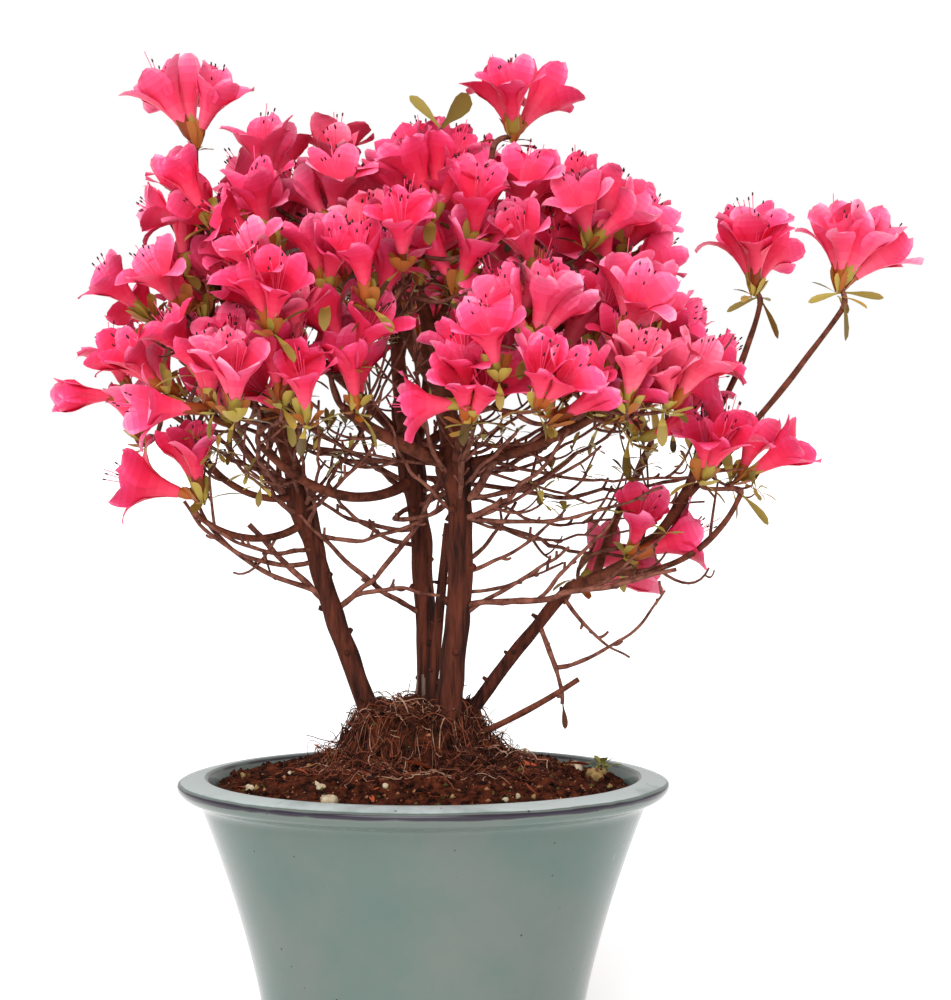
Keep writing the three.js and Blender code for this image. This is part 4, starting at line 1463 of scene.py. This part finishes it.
BARE = (
    Limb("top_riser", "front_leader", 1, 91, (10, -20), (84, 84), (1.2, 0.8)),
    Limb("cut_twig", "left_stem", 0.5, 60, (-168, -175), (40, 50), (1.9, 1.3)),
    Limb("cross_twig", "back_stem", 0.36, 92, (-150, -172), (28, 50), (1.6, 1.0)),
    Limb("long_twig", "front_stem", 0.74, 112, (-25, 6), (-6, 24), (1.3, 0.7)),
    Limb("cut_stub", "front_stem", 0.76, 36, (-30, -25), (46, 58), (2.3, 2.0)),
    Limb("low_right_twig", "right_main_bough", 0.1, 46, (-30, -10), (2, 22), (1.0, 0.5)),
    Limb("hanging_twig", "right_stem", 0.95, 50, (-35, 5), (-58, -28), (1.2, 0.6)),
    Limb("leaf_twig", "right_stem", 0.74, 46, (-30, -10), (-62, -84), (1.7, 1.0)),
    Limb("rising_twig", "leaf_twig", 0.55, 74, (-12, 12), (8, 62), (1.2, 0.6)),
    Limb("left_arch_twig", "left_stem", 0.72, 70, (-120, -178), (-12, 38), (1.4, 0.8)),
    Limb("left_inner_twig", "left_stem", 0.86, 64, (-60, -20), (20, 50), (1.3, 0.8)),
    Limb("mid_twig", "back_stem", 0.6, 74, (-160, -120), (12, 48), (1.4, 0.8)),
    Limb("mid_right_twig", "front_stem", 0.55, 66, (-18, 12), (16, 46), (1.2, 0.7)),
    Limb("mid_low_twig", "front_stem", 0.48, 58, (12, -14), (4, 30), (1.1, 0.6)),
    Limb("thin_fork", "thin_stem", 1, 62, (20, -30), (64, 40), (1.9, 1.0)),
    Limb("thin_right_fork", "thin_stem", 0.7, 60, (-10, 20), (38, 58), (1.4, 0.8)),
    Limb("inner_riser", "left_stem", 0.46, 105, (0, -10), (35, 72), (1.6, 1.1)),
    Limb("inner_arch", "inner_riser", 0.13, 58, (-10, -30), (22, -22), (1.3, 0.9)),
    Limb("right_reach", "front_stem", 0.44, 118, (-20, 0), (4, 16), (2.0, 1.0)),
    Limb("reach_riser", "right_reach", 0.36, 62, (-16, 8), (40, 52), (1.2, 0.7)),
    Limb("reach_side", "right_reach", 0.62, 48, (10, -12), (34, 40), (1.1, 0.6)),
    Limb("low_reach", "front_stem", 0.4, 70, (-14, -4), (28, 34), (1.4, 0.8)),
    Limb("left_long_arc", "left_stem", 0.55, 96, (-168, -178), (8, 66), (1.5, 0.9)),
    Limb("left_low_arc", "left_stem", 0.66, 84, (-158, -176), (-8, 58), (1.4, 0.9)),
    Limb("under_arc", "back_stem", 0.74, 92, (-170, 176), (-22, 44), (1.4, 0.8)),
    Limb("under_riser", "back_stem", 0.66, 84, (-160, -140), (-4, 52), (1.3, 0.8)),
    Limb("across_twig", "left_stem", 0.78, 88, (-14, 6), (-16, 48), (1.3, 0.8)),
    Limb("right_tangle", "front_stem", 0.82, 84, (-22, 4), (-2, 40), (1.3, 0.7)),
    Limb("right_riser", "front_stem", 0.72, 78, (-30, 10), (18, 44), (1.2, 0.7)),
)


@dataclass
class Twigs:
    """Twigs of the crown, bare twigs below it, and finer twigs on all of them.

    Stalk, twig, spur, fine and finer are each a radius and how far it falls by the tip.
    """

    crown: Crown
    rows: int = 9
    arches_per_mass: int = 3
    arch_room: float = 45.0
    arch_ceiling: float = 410.0
    arch_stems: tuple[str, ...] = ("left_stem", "back_stem", "front_stem")
    spurs_per_twig: int = 3
    stalk: tuple[float, float] = (1.7, 0.3)
    twig: tuple[float, float] = (1.4, 0.4)
    spur: tuple[float, float] = (0.95, 0.25)
    fine: tuple[float, float] = (0.95, 0.35)
    finer: tuple[float, float] = (0.65, 0.2)
    spur_length: tuple[float, float] = (2.5, 7.0)
    bough_twig_length: tuple[float, float] = (22.0, 52.0)
    arch_twig_length: tuple[float, float] = (16.0, 42.0)
    finer_length: tuple[float, float] = (10.0, 26.0)
    tips: Array = none_yet(0, 3)
    ways: Array = none_yet(0, 3)

    def taper(self, count: int, thick: float, drop: float) -> Array:
        """Gives like twigs their radii, which fall evenly from thick by drop, in shape (count, rows)."""
        return np.repeat(thick - drop * np.linspace(0, 1, self.rows)[None, :], count, 0)

    def bough_lines(self) -> Array:
        """Gathers the centre lines of the boughs inside the crown.

        Returns:
            Shape (boughs, points, 3).
        """
        names = [limb.name for limb in BOUGHS if "far" not in limb.name and "top_" not in limb.name]
        return np.stack([self.crown.framework.lines[name] for name in names])

    def arches(self) -> Array:
        """Grows arching twigs to the lower masses, from the two nearest stems that stand clear of them.

        Returns:
            Shape (twigs, points, 3).
        """
        framework = self.crown.framework
        starts, ends = [], []
        for m, mass in enumerate(MASSES):
            if mass.centre[2] > self.arch_ceiling or mass.trusses == 1:
                continue
            apart = {
                name: float(np.linalg.norm((framework.point(name, 0.85) - np.array(mass.centre))[:2]))
                for name in self.arch_stems
            }
            near = sorted((name for name in apart if apart[name] > self.arch_room), key=apart.get)[:2]
            for k in range(self.arches_per_mass):
                starts.append(framework.point(near[k % 2], float(between(0.74, 1.0, m + 40, k))))
                scatter = np.array([float(between(-16, 16, m + 60 + c, k)) for c in range(3)])
                ends.append(self.crown.hub(mass) + scatter)
        start, end = np.array(starts), np.array(ends)
        i = np.arange(len(start))
        sag = between(6, 32, i, 5)[:, None] * UP
        aside = unit(np.cross(end - start, UP)) * between(-14, 14, i, 6)[:, None]
        line = bowed(start, 0.55 * start + 0.45 * end - sag + aside, end, LINE_POINTS)
        free = np.sin(np.pi * np.linspace(0, 1, LINE_POINTS))[None, :, None]
        return line + (3.4 * wander(line, 14, 31) + 0.9 * wander(line, 6, 34)) * free

    def branch(self, lines: Array, per_line: int, seed: int, low: float, high: float) -> Array:
        """Grows finer twigs on lines: each leaves at a share of the line, a golden angle round from the last.

        Args:
            lines: shape (lines, points, 3).
            per_line: twigs on each.
            seed: which pattern.
            low: least length.
            high: greatest length.

        Returns:
            Shape (twigs, rows, 3).
        """
        count, points, _ = lines.shape
        owner = np.repeat(np.arange(count), per_line)
        i = np.arange(len(owner))
        step = np.floor(between(0.3, 0.97, i + seed, 1) * (points - 1)).astype(int)
        start = lines[owner, step]
        ahead = unit(lines[owner, np.minimum(step + 1, points - 1)] - lines[owner, step - 1])
        ring = spoke(ahead, i * GOLDEN + between(-0.5, 0.5, i + seed, 2))
        way = unit(0.6 * ahead + 0.75 * ring + 0.2 * UP)
        length = between(low, high, i + seed, 3)[:, None]
        aside = np.cross(way, ring) * between(-0.3, 0.3, i + seed, 4)[:, None]
        bend = start + length * (0.55 * way + aside - 0.12 * UP)
        end = start + length * (0.9 * way + 0.22 * UP)
        return bowed(start, bend, end, self.rows)

    def build(self) -> bpy.types.Object:
        """Builds the masses' bent stalks and twigs, the bare twigs, the arches, and the spurs and fine twigs.

        Returns:
            The piece.
        """
        crown = self.crown
        framework = crown.framework
        pile = Pile()
        start = np.array([framework.point(mass.on, mass.at) for mass in MASSES])
        hub = np.array([crown.hub(mass) for mass in MASSES])
        before = np.array([framework.point(mass.on, mass.at - 0.04) for mass in MASSES])
        on = start + 0.5 * unit(start - before) * np.linalg.norm(hub - start, axis=-1, keepdims=True)
        pile.add_tubes(bowed(start, on, hub, self.rows), self.taper(len(hub), *self.stalk), 6)
        apart = np.linalg.norm(crown.tips - crown.roots, axis=-1) > 1
        twigs = bowed(crown.roots, crown.bends(), crown.tips, self.rows)[apart]
        pile.add_tubes(twigs, self.taper(len(twigs), *self.twig), 6)
        for twig in BARE:
            framework.lay(twig, framework.point(twig.on, twig.at), twig.length)
        bare = np.stack([framework.lines[twig.name] for twig in BARE])
        bare = bare + 1.6 * wander(bare, 11, 21)
        taper = np.stack([np.linspace(*twig.radius, LINE_POINTS) for twig in BARE])
        pile.add_tubes(bare, taper * (1 + 0.2 * lumps(bare, 4, 24)), 8)
        arches = self.arches()
        thick = between(0.9, 1.7, np.arange(len(arches)), 7)[:, None]
        taper = np.linspace(1.0, 0.55, LINE_POINTS)[None, :] * thick
        pile.add_tubes(arches, taper * (1 + 0.2 * lumps(arches, 4, 25)), 7)
        bearers = np.concatenate([bare, arches])
        spurs = self.branch(bearers, self.spurs_per_twig, 2100, *self.spur_length)
        pile.add_tubes(spurs, self.taper(len(spurs), *self.spur), 5)
        on_boughs = self.branch(self.bough_lines(), 2, 1100, *self.bough_twig_length)
        on_arches = self.branch(arches, 1, 1400, *self.arch_twig_length)
        fine = np.concatenate([on_boughs, on_arches])
        finer = self.branch(fine, 1, 1700, *self.finer_length)
        pile.add_tubes(fine, self.taper(len(fine), *self.fine), 5)
        pile.add_tubes(finer, self.taper(len(finer), *self.finer), 4)
        self.tips = np.concatenate([fine[:, -1], finer[:, -1]])
        self.ways = unit(self.tips - np.concatenate([fine[:, -2], finer[:, -2]]))
        return pile.piece("twigs", [TWIG_BARK.material()], [])


STAMENS_AND_CALYCES = (
    # Pink threads that stand out of the mouth
    Tissue("filament", "#f2527f", 0.5),
    # Dark dots on their ends
    Finish("anther", "#3a1420", "#54202c", 2, 0.6, 0.1, 0.7),
    # Fresh calyces, yellow-green
    Tissue("calyx_green", "#9f893b", 0.45),
    # Turning calyces
    Tissue("calyx_orange", "#a55423", 0.4),
    # Dry calyces
    Tissue("calyx_brown", "#803c1c", 0.4),
)


@dataclass
class Blossom:
    """Flowers: five petals joined in a short funnel that parts into oval lobes, in cups of bud scales."""

    crown: Crown
    rows: int = 9
    columns: int = 7
    tones: int = 22
    shares: tuple[float, ...] = (0.42, 0.7, 0.97)
    stalk: float = 9.5
    length: float = 33.0
    throat: float = 2.5
    joined: float = 0.28
    half_width: float = 8.2
    with_stamens: float = 0.45

    def petals(self, chosen: Array) -> Array:
        """Builds the petals of some flowers.

        A petal's middle line leaves the calyx at 8 degrees to the flower's axis and leans out with its
        length u by a share of u and of u^3, so it recurves at the tip. Its section is an arc of length 2 w(u)
        whose curvature is that of the funnel up to the joined share, and eases to a third of it at the tip.
        w(u) is a fifth of the funnel first, then widens to the half width and closes as (1 - x^2.4)^0.5.
        Each lobe is twisted, swayed and waved a little along its edges.

        Args:
            chosen: numbers of the flowers.

        Returns:
            Shape (flowers, 5, rows, columns, 3).
        """
        k = np.arange(5)[None, :, None]
        i = chosen[:, None, None]
        spread = self.crown.spreads[i]
        low = np.where((k == 2) | (k == 3), 0.18, 0.0) + between(-0.25, 0.3, i + 515, k)
        bent = between(-0.8, 0.8, i + 500, k)
        steps = 40
        u = np.linspace(0, 1, steps + 1)[None, None, :]
        lean = np.radians(8 + spread * (1 + low) * (36 * u + 42 * (1 + bent) * u**3))
        out = self.throat + self.length * np.cumsum(np.sin(lean), axis=-1) / steps
        up = self.stalk + self.length * np.cumsum(np.cos(lean), axis=-1) / steps
        rows = np.round(steps * (1 - (1 - np.linspace(0, 1, self.rows)) ** 1.3)).astype(int)
        lean, out, up, u = (values[..., rows, None] for values in (lean, out, up, u))
        k, i = k[..., None], i[..., None]
        v = np.linspace(-1, 1, self.columns)
        lobe = np.clip((u - self.joined) / (1 - self.joined), 0, 1)
        ease = np.clip(lobe / 0.5, 0, 1) ** 2 * (3 - 2 * np.clip(lobe / 0.5, 0, 1))
        half = out * np.pi / 5 * 1.05
        half = half + (self.half_width * between(0.88, 1.12, i + 510, k) - half) * ease
        half = half * np.sqrt(1 - np.clip((lobe - 0.42) / 0.58, 0, 0.985) ** 2.4)
        curve = (1 - 0.66 * ease + 0.25 * bent[..., None] * lobe) / out
        aside = np.sin(curve * half * v) / curve
        inward = (1 - np.cos(curve * half * v)) / curve
        phase = 2 * np.pi * chance(i + 700, k)
        inward = inward + between(-0.22, 0.22, i + 520, k) * aside * lobe
        inward = inward + lobe * (1.5 * v * np.abs(v) * np.sin(6 * lobe + phase) - 0.5 * (1 - np.abs(v)))
        inward = inward + lobe * 1.1 * v**2 * np.sin(4 * lobe - 2 * phase)
        inward = inward + 0.5 * np.where(k % 2 == 0, 1.0, -1.0) * lobe
        aside = aside + between(-2.6, 2.6, i + 530, k) * lobe**2
        radius = out - np.cos(lean) * inward
        height = up + np.sin(lean) * inward
        turn = 2 * np.pi * k / 5
        across_x = radius * np.cos(turn) - aside * np.sin(turn)
        across_y = radius * np.sin(turn) + aside * np.cos(turn)
        local = np.stack(np.broadcast_arrays(across_x, across_y, height), axis=-1)
        return self.place(local.reshape(len(chosen), -1, 3), chosen).reshape(local.shape)

    def place(self, local: Array, chosen: Array) -> Array:
        """Carries points from flowers' own axes, with the first petal upward, to where the flowers stand.

        Args:
            local: shape (flowers, points, 3).
            chosen: numbers of the flowers.

        Returns:
            The same shape.
        """
        crown = self.crown
        way = crown.ways[chosen]
        first, second = across(way)
        roll = (1.1 * np.sin(crown.rolls[chosen]))[:, None]
        upward = second * np.cos(roll) + first * np.sin(roll)
        aside = np.cross(way, upward)
        root = crown.tips[crown.truss[chosen]] - 0.3 * crown.rolls[chosen][:, None] * way
        axes = np.stack([upward, aside, way], axis=1)
        return root[:, None] + crown.sizes[chosen][:, None, None] * np.einsum("npk,nkd->npd", local, axes)

    def stamens(self, pile: Pile, chosen: Array) -> None:
        """Adds five filaments and a longer style to each flower, bowed up to the first petal, with dark tips.

        Args:
            pile: gathers them.
            chosen: numbers of the flowers.
        """
        count = len(chosen)
        i = chosen[:, None]
        k = np.arange(6)[None, :]
        turn = 2 * np.pi * (k + 0.5) / 5
        wide = np.where(k == 5, 0.0, 1.0)
        reach = between(36, 45, i + 900, k) + np.where(k == 5, 4.0, 0.0)
        zero = np.zeros((count, 6))
        start = np.stack([zero + 0.8 * np.cos(turn), zero + 0.8 * np.sin(turn), zero + 15], axis=-1)
        bend = np.stack([zero + wide * np.cos(turn), zero + wide * 1.5 * np.sin(turn), zero + 30], axis=-1)
        upward = 3.6 + wide * 3.4 * np.cos(turn) + zero
        end = np.stack([upward, wide * 5 * np.sin(turn) + zero, reach], axis=-1)
        paths = bowed(start.reshape(-1, 3), bend.reshape(-1, 3), end.reshape(-1, 3), 5)
        placed = self.place(paths.reshape(count, -1, 3), chosen).reshape(-1, 5, 3)
        pile.add_tubes(placed, np.full(placed.shape[:2], 0.26), 3, 0)
        threads = placed.reshape(count, 6, 5, 3)[:, :5].reshape(-1, 5, 3)
        ahead = unit(threads[:, -1] - threads[:, -2])
        bars = threads[:, -1:] + np.array([-0.6, 1.1])[None, :, None] * ahead[:, None]
        pile.add_tubes(bars, np.broadcast_to(np.array([0.46, 0.38]), bars.shape[:2]), 4, 1)

    def build(self) -> list[bpy.types.Object]:
        """Builds petals, stamens and calyces.

        Returns:
            The pieces.
        """
        tints = [tone for family in PetalTone for tone in family.materials(self.tones)]
        count = len(self.crown.ways)
        chosen = np.arange(count)
        petals = self.petals(chosen)
        family = np.searchsorted(self.shares, chance(self.crown.truss + 30, 4))
        # Each face steps from the calyx through the deep throat to the pale edge, further at the lobe's
        # sides:
        # painted shade in the throat and a painted highlight at the edge, over the flower's own deeper throat
        # and paler rim
        along_petal = (np.arange(self.rows - 1) + 0.5)[:, None] / (self.rows - 1)
        edge = np.abs(np.linspace(-1, 1, self.columns - 1))[None, :] ** 3
        place = 0.8 * along_petal + 0.2 * edge * along_petal
        petal = chosen[:, None] * 5.0 + np.arange(5)[None, :]
        vein = between(-0.015, 0.015, petal[..., None] + 560, np.arange(self.columns - 1))[:, :, None]
        own = between(-0.16, 0.16, petal + 540, 1)[..., None, None] + vein
        place = (place + own * np.minimum(1, 2 * place)).reshape(count, 5, -1)
        tone = np.round((self.tones - 1) * np.clip(place, 0, 1)).astype(int)
        shade = family[:, None, None] * self.tones + tone
        pile = Pile()
        pile.add_grids(petals.reshape(count * 5, self.rows, self.columns, 3), shade.reshape(count * 5, -1))
        names = [f"blossom_{mass.name}" for mass in MASSES]
        fine = Pile()
        self.stamens(fine, np.flatnonzero(self.crown.spreads > self.with_stamens))
        self.calyces(fine, chosen)
        return [
            pile.piece("petals", tints, names),
            fine.piece("stamens_and_calyces", materials_of(STAMENS_AND_CALYCES), []),
        ]

    def calyces(self, pile: Pile, chosen: Array) -> None:
        """Adds each flower's stalk, and the bulb of scales round its tube: rings, the last with four points.

        Args:
            pile: gathers them.
            chosen: numbers of the flowers.
        """
        count = len(chosen)
        turn = ring_angles(8)
        point = np.where(np.arange(8) % 2 == 0, 1.0, 0.0)
        bulge = between(0.7, 1.15, chosen, 31)[:, None, None]
        rise = np.array([1.6, 3.2, 6.4, 9.8, 11.2])[:, None] + np.array([0, 0, 0, 0, 3.4])[:, None] * point
        wide = np.array([0.9, 2.3, 3.2, 3.1, 2.9])[:, None] + np.array([0, 0, 0, 0, 1.2])[:, None] * point
        radius = wide * bulge
        height = np.broadcast_to(rise, radius.shape)
        cup = np.stack([radius * np.cos(turn), radius * np.sin(turn), height], axis=-1)
        placed = self.place(cup.reshape(count, -1, 3), chosen)
        shade = 2 + np.searchsorted([0.4, 0.8], chance(chosen, 32))
        pile.add_grids(placed.reshape(count, 5, 8, 3), shade, around=True)
        stalk = np.broadcast_to(np.linspace(0, 6.4, 3)[None, :, None] * UP, (count, 3, 3))
        pile.add_tubes(self.place(stalk, chosen), np.full((count, 3), 0.9), 5, 2)


@dataclass(frozen=True)
class LoneLeaf:
    """A leaf with a place of its own, off the tip of a limb."""

    on: str
    offset: tuple[float, float, float]
    azimuth: float
    elevation: float
    length: float
    width: float
    roll: float
    tint: int


LONE_LEAVES = (
    LoneLeaf("top_riser", (0, 0, 0), 180, 50, 23, 9, 60, 0),
    LoneLeaf("top_riser", (1, 0, 0), 8, 48, 23, 15, -110, 1),
    LoneLeaf("leaf_twig", (0, 0, 0), -10, -82, 13, 4.5, 80, 7),
    LoneLeaf("right_low_bough", (0, -1, 0), -20, -42, 22, 8, 55, 0),
    LoneLeaf("far_right_bough", (0, -1, 8), -60, -74, 25, 9, 30, 1),
    LoneLeaf("far_right_bough", (0, 0, 9), -10, -5, 22, 6, 60, 0),
    LoneLeaf("far_right_bough", (0, 0, 9), 190, -12, 20, 6, -60, 2),
    LoneLeaf("far_right_inner_bough", (0, 0, 3), -20, -60, 24, 7, 50, 1),
    LoneLeaf("far_right_inner_bough", (0, 0, 4), 185, -20, 20, 6, -50, 0),
)


LEAF_TINTS = (
    # Grown leaves, dull olive
    Tissue("leaf_olive", "#907c3c", 0.42),
    # Deeper green-brown leaves
    Tissue("leaf_green", "#725e26", 0.42),
    # Yellowing leaves
    Tissue("leaf_yellow", "#aa9548", 0.42),
    # Leaves that give depth under the flowers
    Tissue("leaf_dark", "#57482c", 0.42),
    # Bud scales and leaf stalks, yellow-green
    Tissue("scale_green", "#ac9545", 0.45),
    # Bud scales that dry, amber
    Tissue("scale_brown", "#a25e2a", 0.45),
    # Young leaves on the bare twigs
    Tissue("leaf_fresh", "#968f3c", 0.42),
    # One withered leaf
    Tissue("leaf_dead", "#55311e", 0.7),
)


@dataclass
class Leaves:
    """Leaves under each truss and on the fine twigs, and scales of the buds that the trusses grew from."""

    crown: Crown
    twigs: Twigs
    per_tip: int = 3
    scales: int = 6
    per_rosette: int = 6
    leaf_length: tuple[float, float] = (11.0, 22.0)
    scale_length: tuple[float, float] = (9.0, 15.0)
    rosette_length: tuple[float, float] = (6.0, 13.0)
    fresh_length: tuple[float, float] = (8.0, 14.0)
    lowest: float = 270.0
    low_leaves: tuple[float, float] = (272.0, 328.0)
    leafy_twigs: tuple[str, ...] = (
        "mid_right_twig",
        "reach_riser",
        "reach_side",
        "thin_fork",
        "left_inner_twig",
    )

    def ring(self, axes: Array, number: int, seed: int) -> tuple[Array, Array, Array]:
        """Spaces blades round axes.

        Args:
            axes: unit vectors, one for each ring.
            number: blades in each ring.
            seed: which pattern.

        Returns:
            The ring and the blade number of each blade, and the way out from the axis.
        """
        t = np.repeat(np.arange(len(axes)), number)
        k = np.tile(np.arange(number), len(axes))
        around = 2 * np.pi * (k + 0.6 * chance(t + seed, k)) / number + t
        return t, k, spoke(axes[t], around)

    def stalked(self, tint: Array) -> Array:
        """Gives each leaf's five rows a tint: two of pale stalk, then its own."""
        return np.stack([np.full_like(tint, 4)] * 2 + [tint] * 3, axis=-1)

    def build(self) -> bpy.types.Object:
        """Builds arching leaves and upright bud scales round each tip, and small rosettes on the fine twigs.

        Returns:
            The piece.
        """
        crown = self.crown
        pile = Pile()
        t, k, out = self.ring(crown.axes, self.per_tip, 300)
        way = unit(out + between(0.0, 0.45, t, k)[:, None] * UP)
        size = between(*self.leaf_length, t + 50, k)
        base = crown.tips[t] - between(2, 5, t + 20, k)[:, None] * crown.axes[t]
        leaves = blades(base, way, size, 0.42 * size, between(0.05, 0.55, t, k + 9), 0.3, 0.12)
        pile.add_grids(leaves, self.stalked((chance(t + 40, k) * 3.99).astype(int)))
        t, k, out = self.ring(crown.axes, self.scales, 310)
        way = unit(0.7 * out + crown.axes[t])
        size = between(*self.scale_length, t + 60, k)
        base = crown.tips[t] + 1.6 * out - 3 * crown.axes[t]
        scales = blades(base, way, size, 0.66 * size, -0.3 + 0 * size, 0.5)
        pile.add_grids(scales, 4 + (chance(t + 70, k) < 0.45))
        tips = self.twigs.tips
        ways = self.twigs.ways
        low = (tips[:, 2] > self.low_leaves[0]) & (tips[:, 2] < self.low_leaves[1])
        leafy = chance(np.arange(len(tips)), 81) < np.where(low, 0.95, 0.2)
        leafy = leafy & (tips[:, 2] > self.lowest)
        t, k, out = self.ring(ways[leafy], self.per_rosette, 320)
        size = between(*self.rosette_length, t + 90, k)
        way = unit(out + between(0.2, 1.0, t + 91, k)[:, None] * ways[leafy][t])
        small = blades(tips[leafy][t], way, size, 0.4 * size, between(0.0, 0.4, t + 92, k), 0.25, 0.15)
        pile.add_grids(small, (chance(t + 93, k) * 2.99).astype(int))
        framework = crown.framework
        ends = np.array([framework.point(name, 1.0) for name in self.leafy_twigs])
        t, k, out = self.ring(np.broadcast_to(UP, ends.shape), 6, 330)
        size = between(*self.fresh_length, t + 94, k)
        way = unit(out + between(0.1, 0.8, t + 95, k)[:, None] * UP)
        pile.add_grids(blades(ends[t], way, size, 0.42 * size, 0.2 + 0 * size), 6)
        pile.add_grids(self.lone(), np.array([leaf.tint for leaf in LONE_LEAVES]))
        return pile.piece("leaves", materials_of(LEAF_TINTS), [])

    def lone(self) -> Array:
        """Builds the leaves that have places of their own.

        Returns:
            Shape (leaves, 6, 3, 3).
        """
        point = self.crown.framework.point
        base = np.array([point(leaf.on, 1.0) + np.array(leaf.offset) for leaf in LONE_LEAVES])
        sizes = [(leaf.azimuth, leaf.elevation, leaf.length, leaf.width, leaf.roll) for leaf in LONE_LEAVES]
        azimuth, elevation, length, width, roll = np.array(sizes, dtype=float).T
        way = heading(azimuth, elevation)
        return blades(base, way, length, width, 0.12 + 0 * length, 0.2, 0.1, np.radians(roll))


@dataclass
class Studio:
    """White floor and surround, a soft high light, a weak front light, and the camera of the photograph."""

    eye: tuple[float, float, float] = (27.8, -1500.0, 338.0)
    pitch: float = 1.87
    lens: float = 101.3
    floor_half: float = 30000.0
    floor_glow: float = 0.4
    fill: float = 0.56
    sun_width: float = 50.0
    suns: tuple[tuple[str, float, float, float], ...] = (
        ("high_light", 2.6, 50, -14),
        ("front_light", 0.65, 78, 10),
    )
    sensor: float = 36.0

    def build(self) -> None:
        """Sets floor, surround, lights and camera."""
        self.floor()
        self.surround()
        self.lights()
        self.camera()
        bpy.context.scene.view_settings.view_transform = "Standard"

    def floor(self) -> None:
        """Lays a wide floor of white paper that glows a little."""
        mesh = bpy.data.meshes.new("floor")
        half = self.floor_half * METRES
        corners = [(-half, -half, 0), (half, -half, 0), (half, half, 0), (-half, half, 0)]
        mesh.from_pydata(corners, [], [(0, 1, 2, 3)])
        floor = bpy.data.objects.new("floor", mesh)
        # Seamless paper that takes a soft shadow
        paper = bpy.data.materials.new("white_paper")
        paper.use_nodes = True
        sheet = {
            "Base Color": linear("#fafafa"),
            "Roughness": 0.9,
            "Emission Color": linear("#ffffff"),
            "Emission Strength": self.floor_glow,
        }
        for name, value in sheet.items():
            paper.node_tree.nodes["Principled BSDF"].inputs[name].default_value = value
        mesh.materials.append(paper)
        bpy.context.collection.objects.link(floor)

    def surround(self) -> None:
        """Makes the world white to the camera, and dimmer as a light."""
        world = bpy.data.worlds.new("white_surround")
        bpy.context.scene.world = world
        world.use_nodes = True
        tree = world.node_tree
        seen = add_node(tree, "ShaderNodeLightPath").outputs["Is Camera Ray"]
        dimmer = {"operation": "MULTIPLY_ADD", 1: 1 - self.fill, 2: self.fill}
        strength = add_node(tree, "ShaderNodeMath", dimmer, {0: seen}).outputs["Value"]
        background = tree.nodes["Background"]
        background.inputs["Color"].default_value = linear("#ffffff")
        tree.links.new(strength, background.inputs["Strength"])

    def lights(self) -> None:
        """Hangs the wide lights: name, strength, tilt and turn of each."""
        for name, energy, tilt, turn in self.suns:
            sun = bpy.data.lights.new(name, "SUN")
            sun.energy = energy
            sun.angle = math.radians(self.sun_width)
            light = bpy.data.objects.new(name, sun)
            light.rotation_euler = (math.radians(tilt), math.radians(turn), 0)
            bpy.context.collection.objects.link(light)

    def camera(self) -> None:
        """Sets the camera where the photograph was taken from."""
        camera = bpy.data.cameras.new("camera")
        camera.lens = self.lens
        camera.sensor_width = self.sensor
        view = bpy.data.objects.new("camera", camera)
        view.location = [value * METRES for value in self.eye]
        view.rotation_euler = (math.radians(90 - self.pitch), 0, 0)
        bpy.context.collection.objects.link(view)
        bpy.context.scene.camera = view


def main() -> None:
    """Builds each part in order."""
    logging.basicConfig(level=logging.INFO, format="%(message)s")
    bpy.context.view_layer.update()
    framework = Framework()
    crown = Crown(framework)
    crown.grow()
    Pot().build()
    Ground().build()
    Woodwork(framework).build()
    twigs = Twigs(crown)
    twigs.build()
    Leaves(crown, twigs).build()
    Blossom(crown).build()
    Studio().build()


if __name__ == "__main__":
    main()
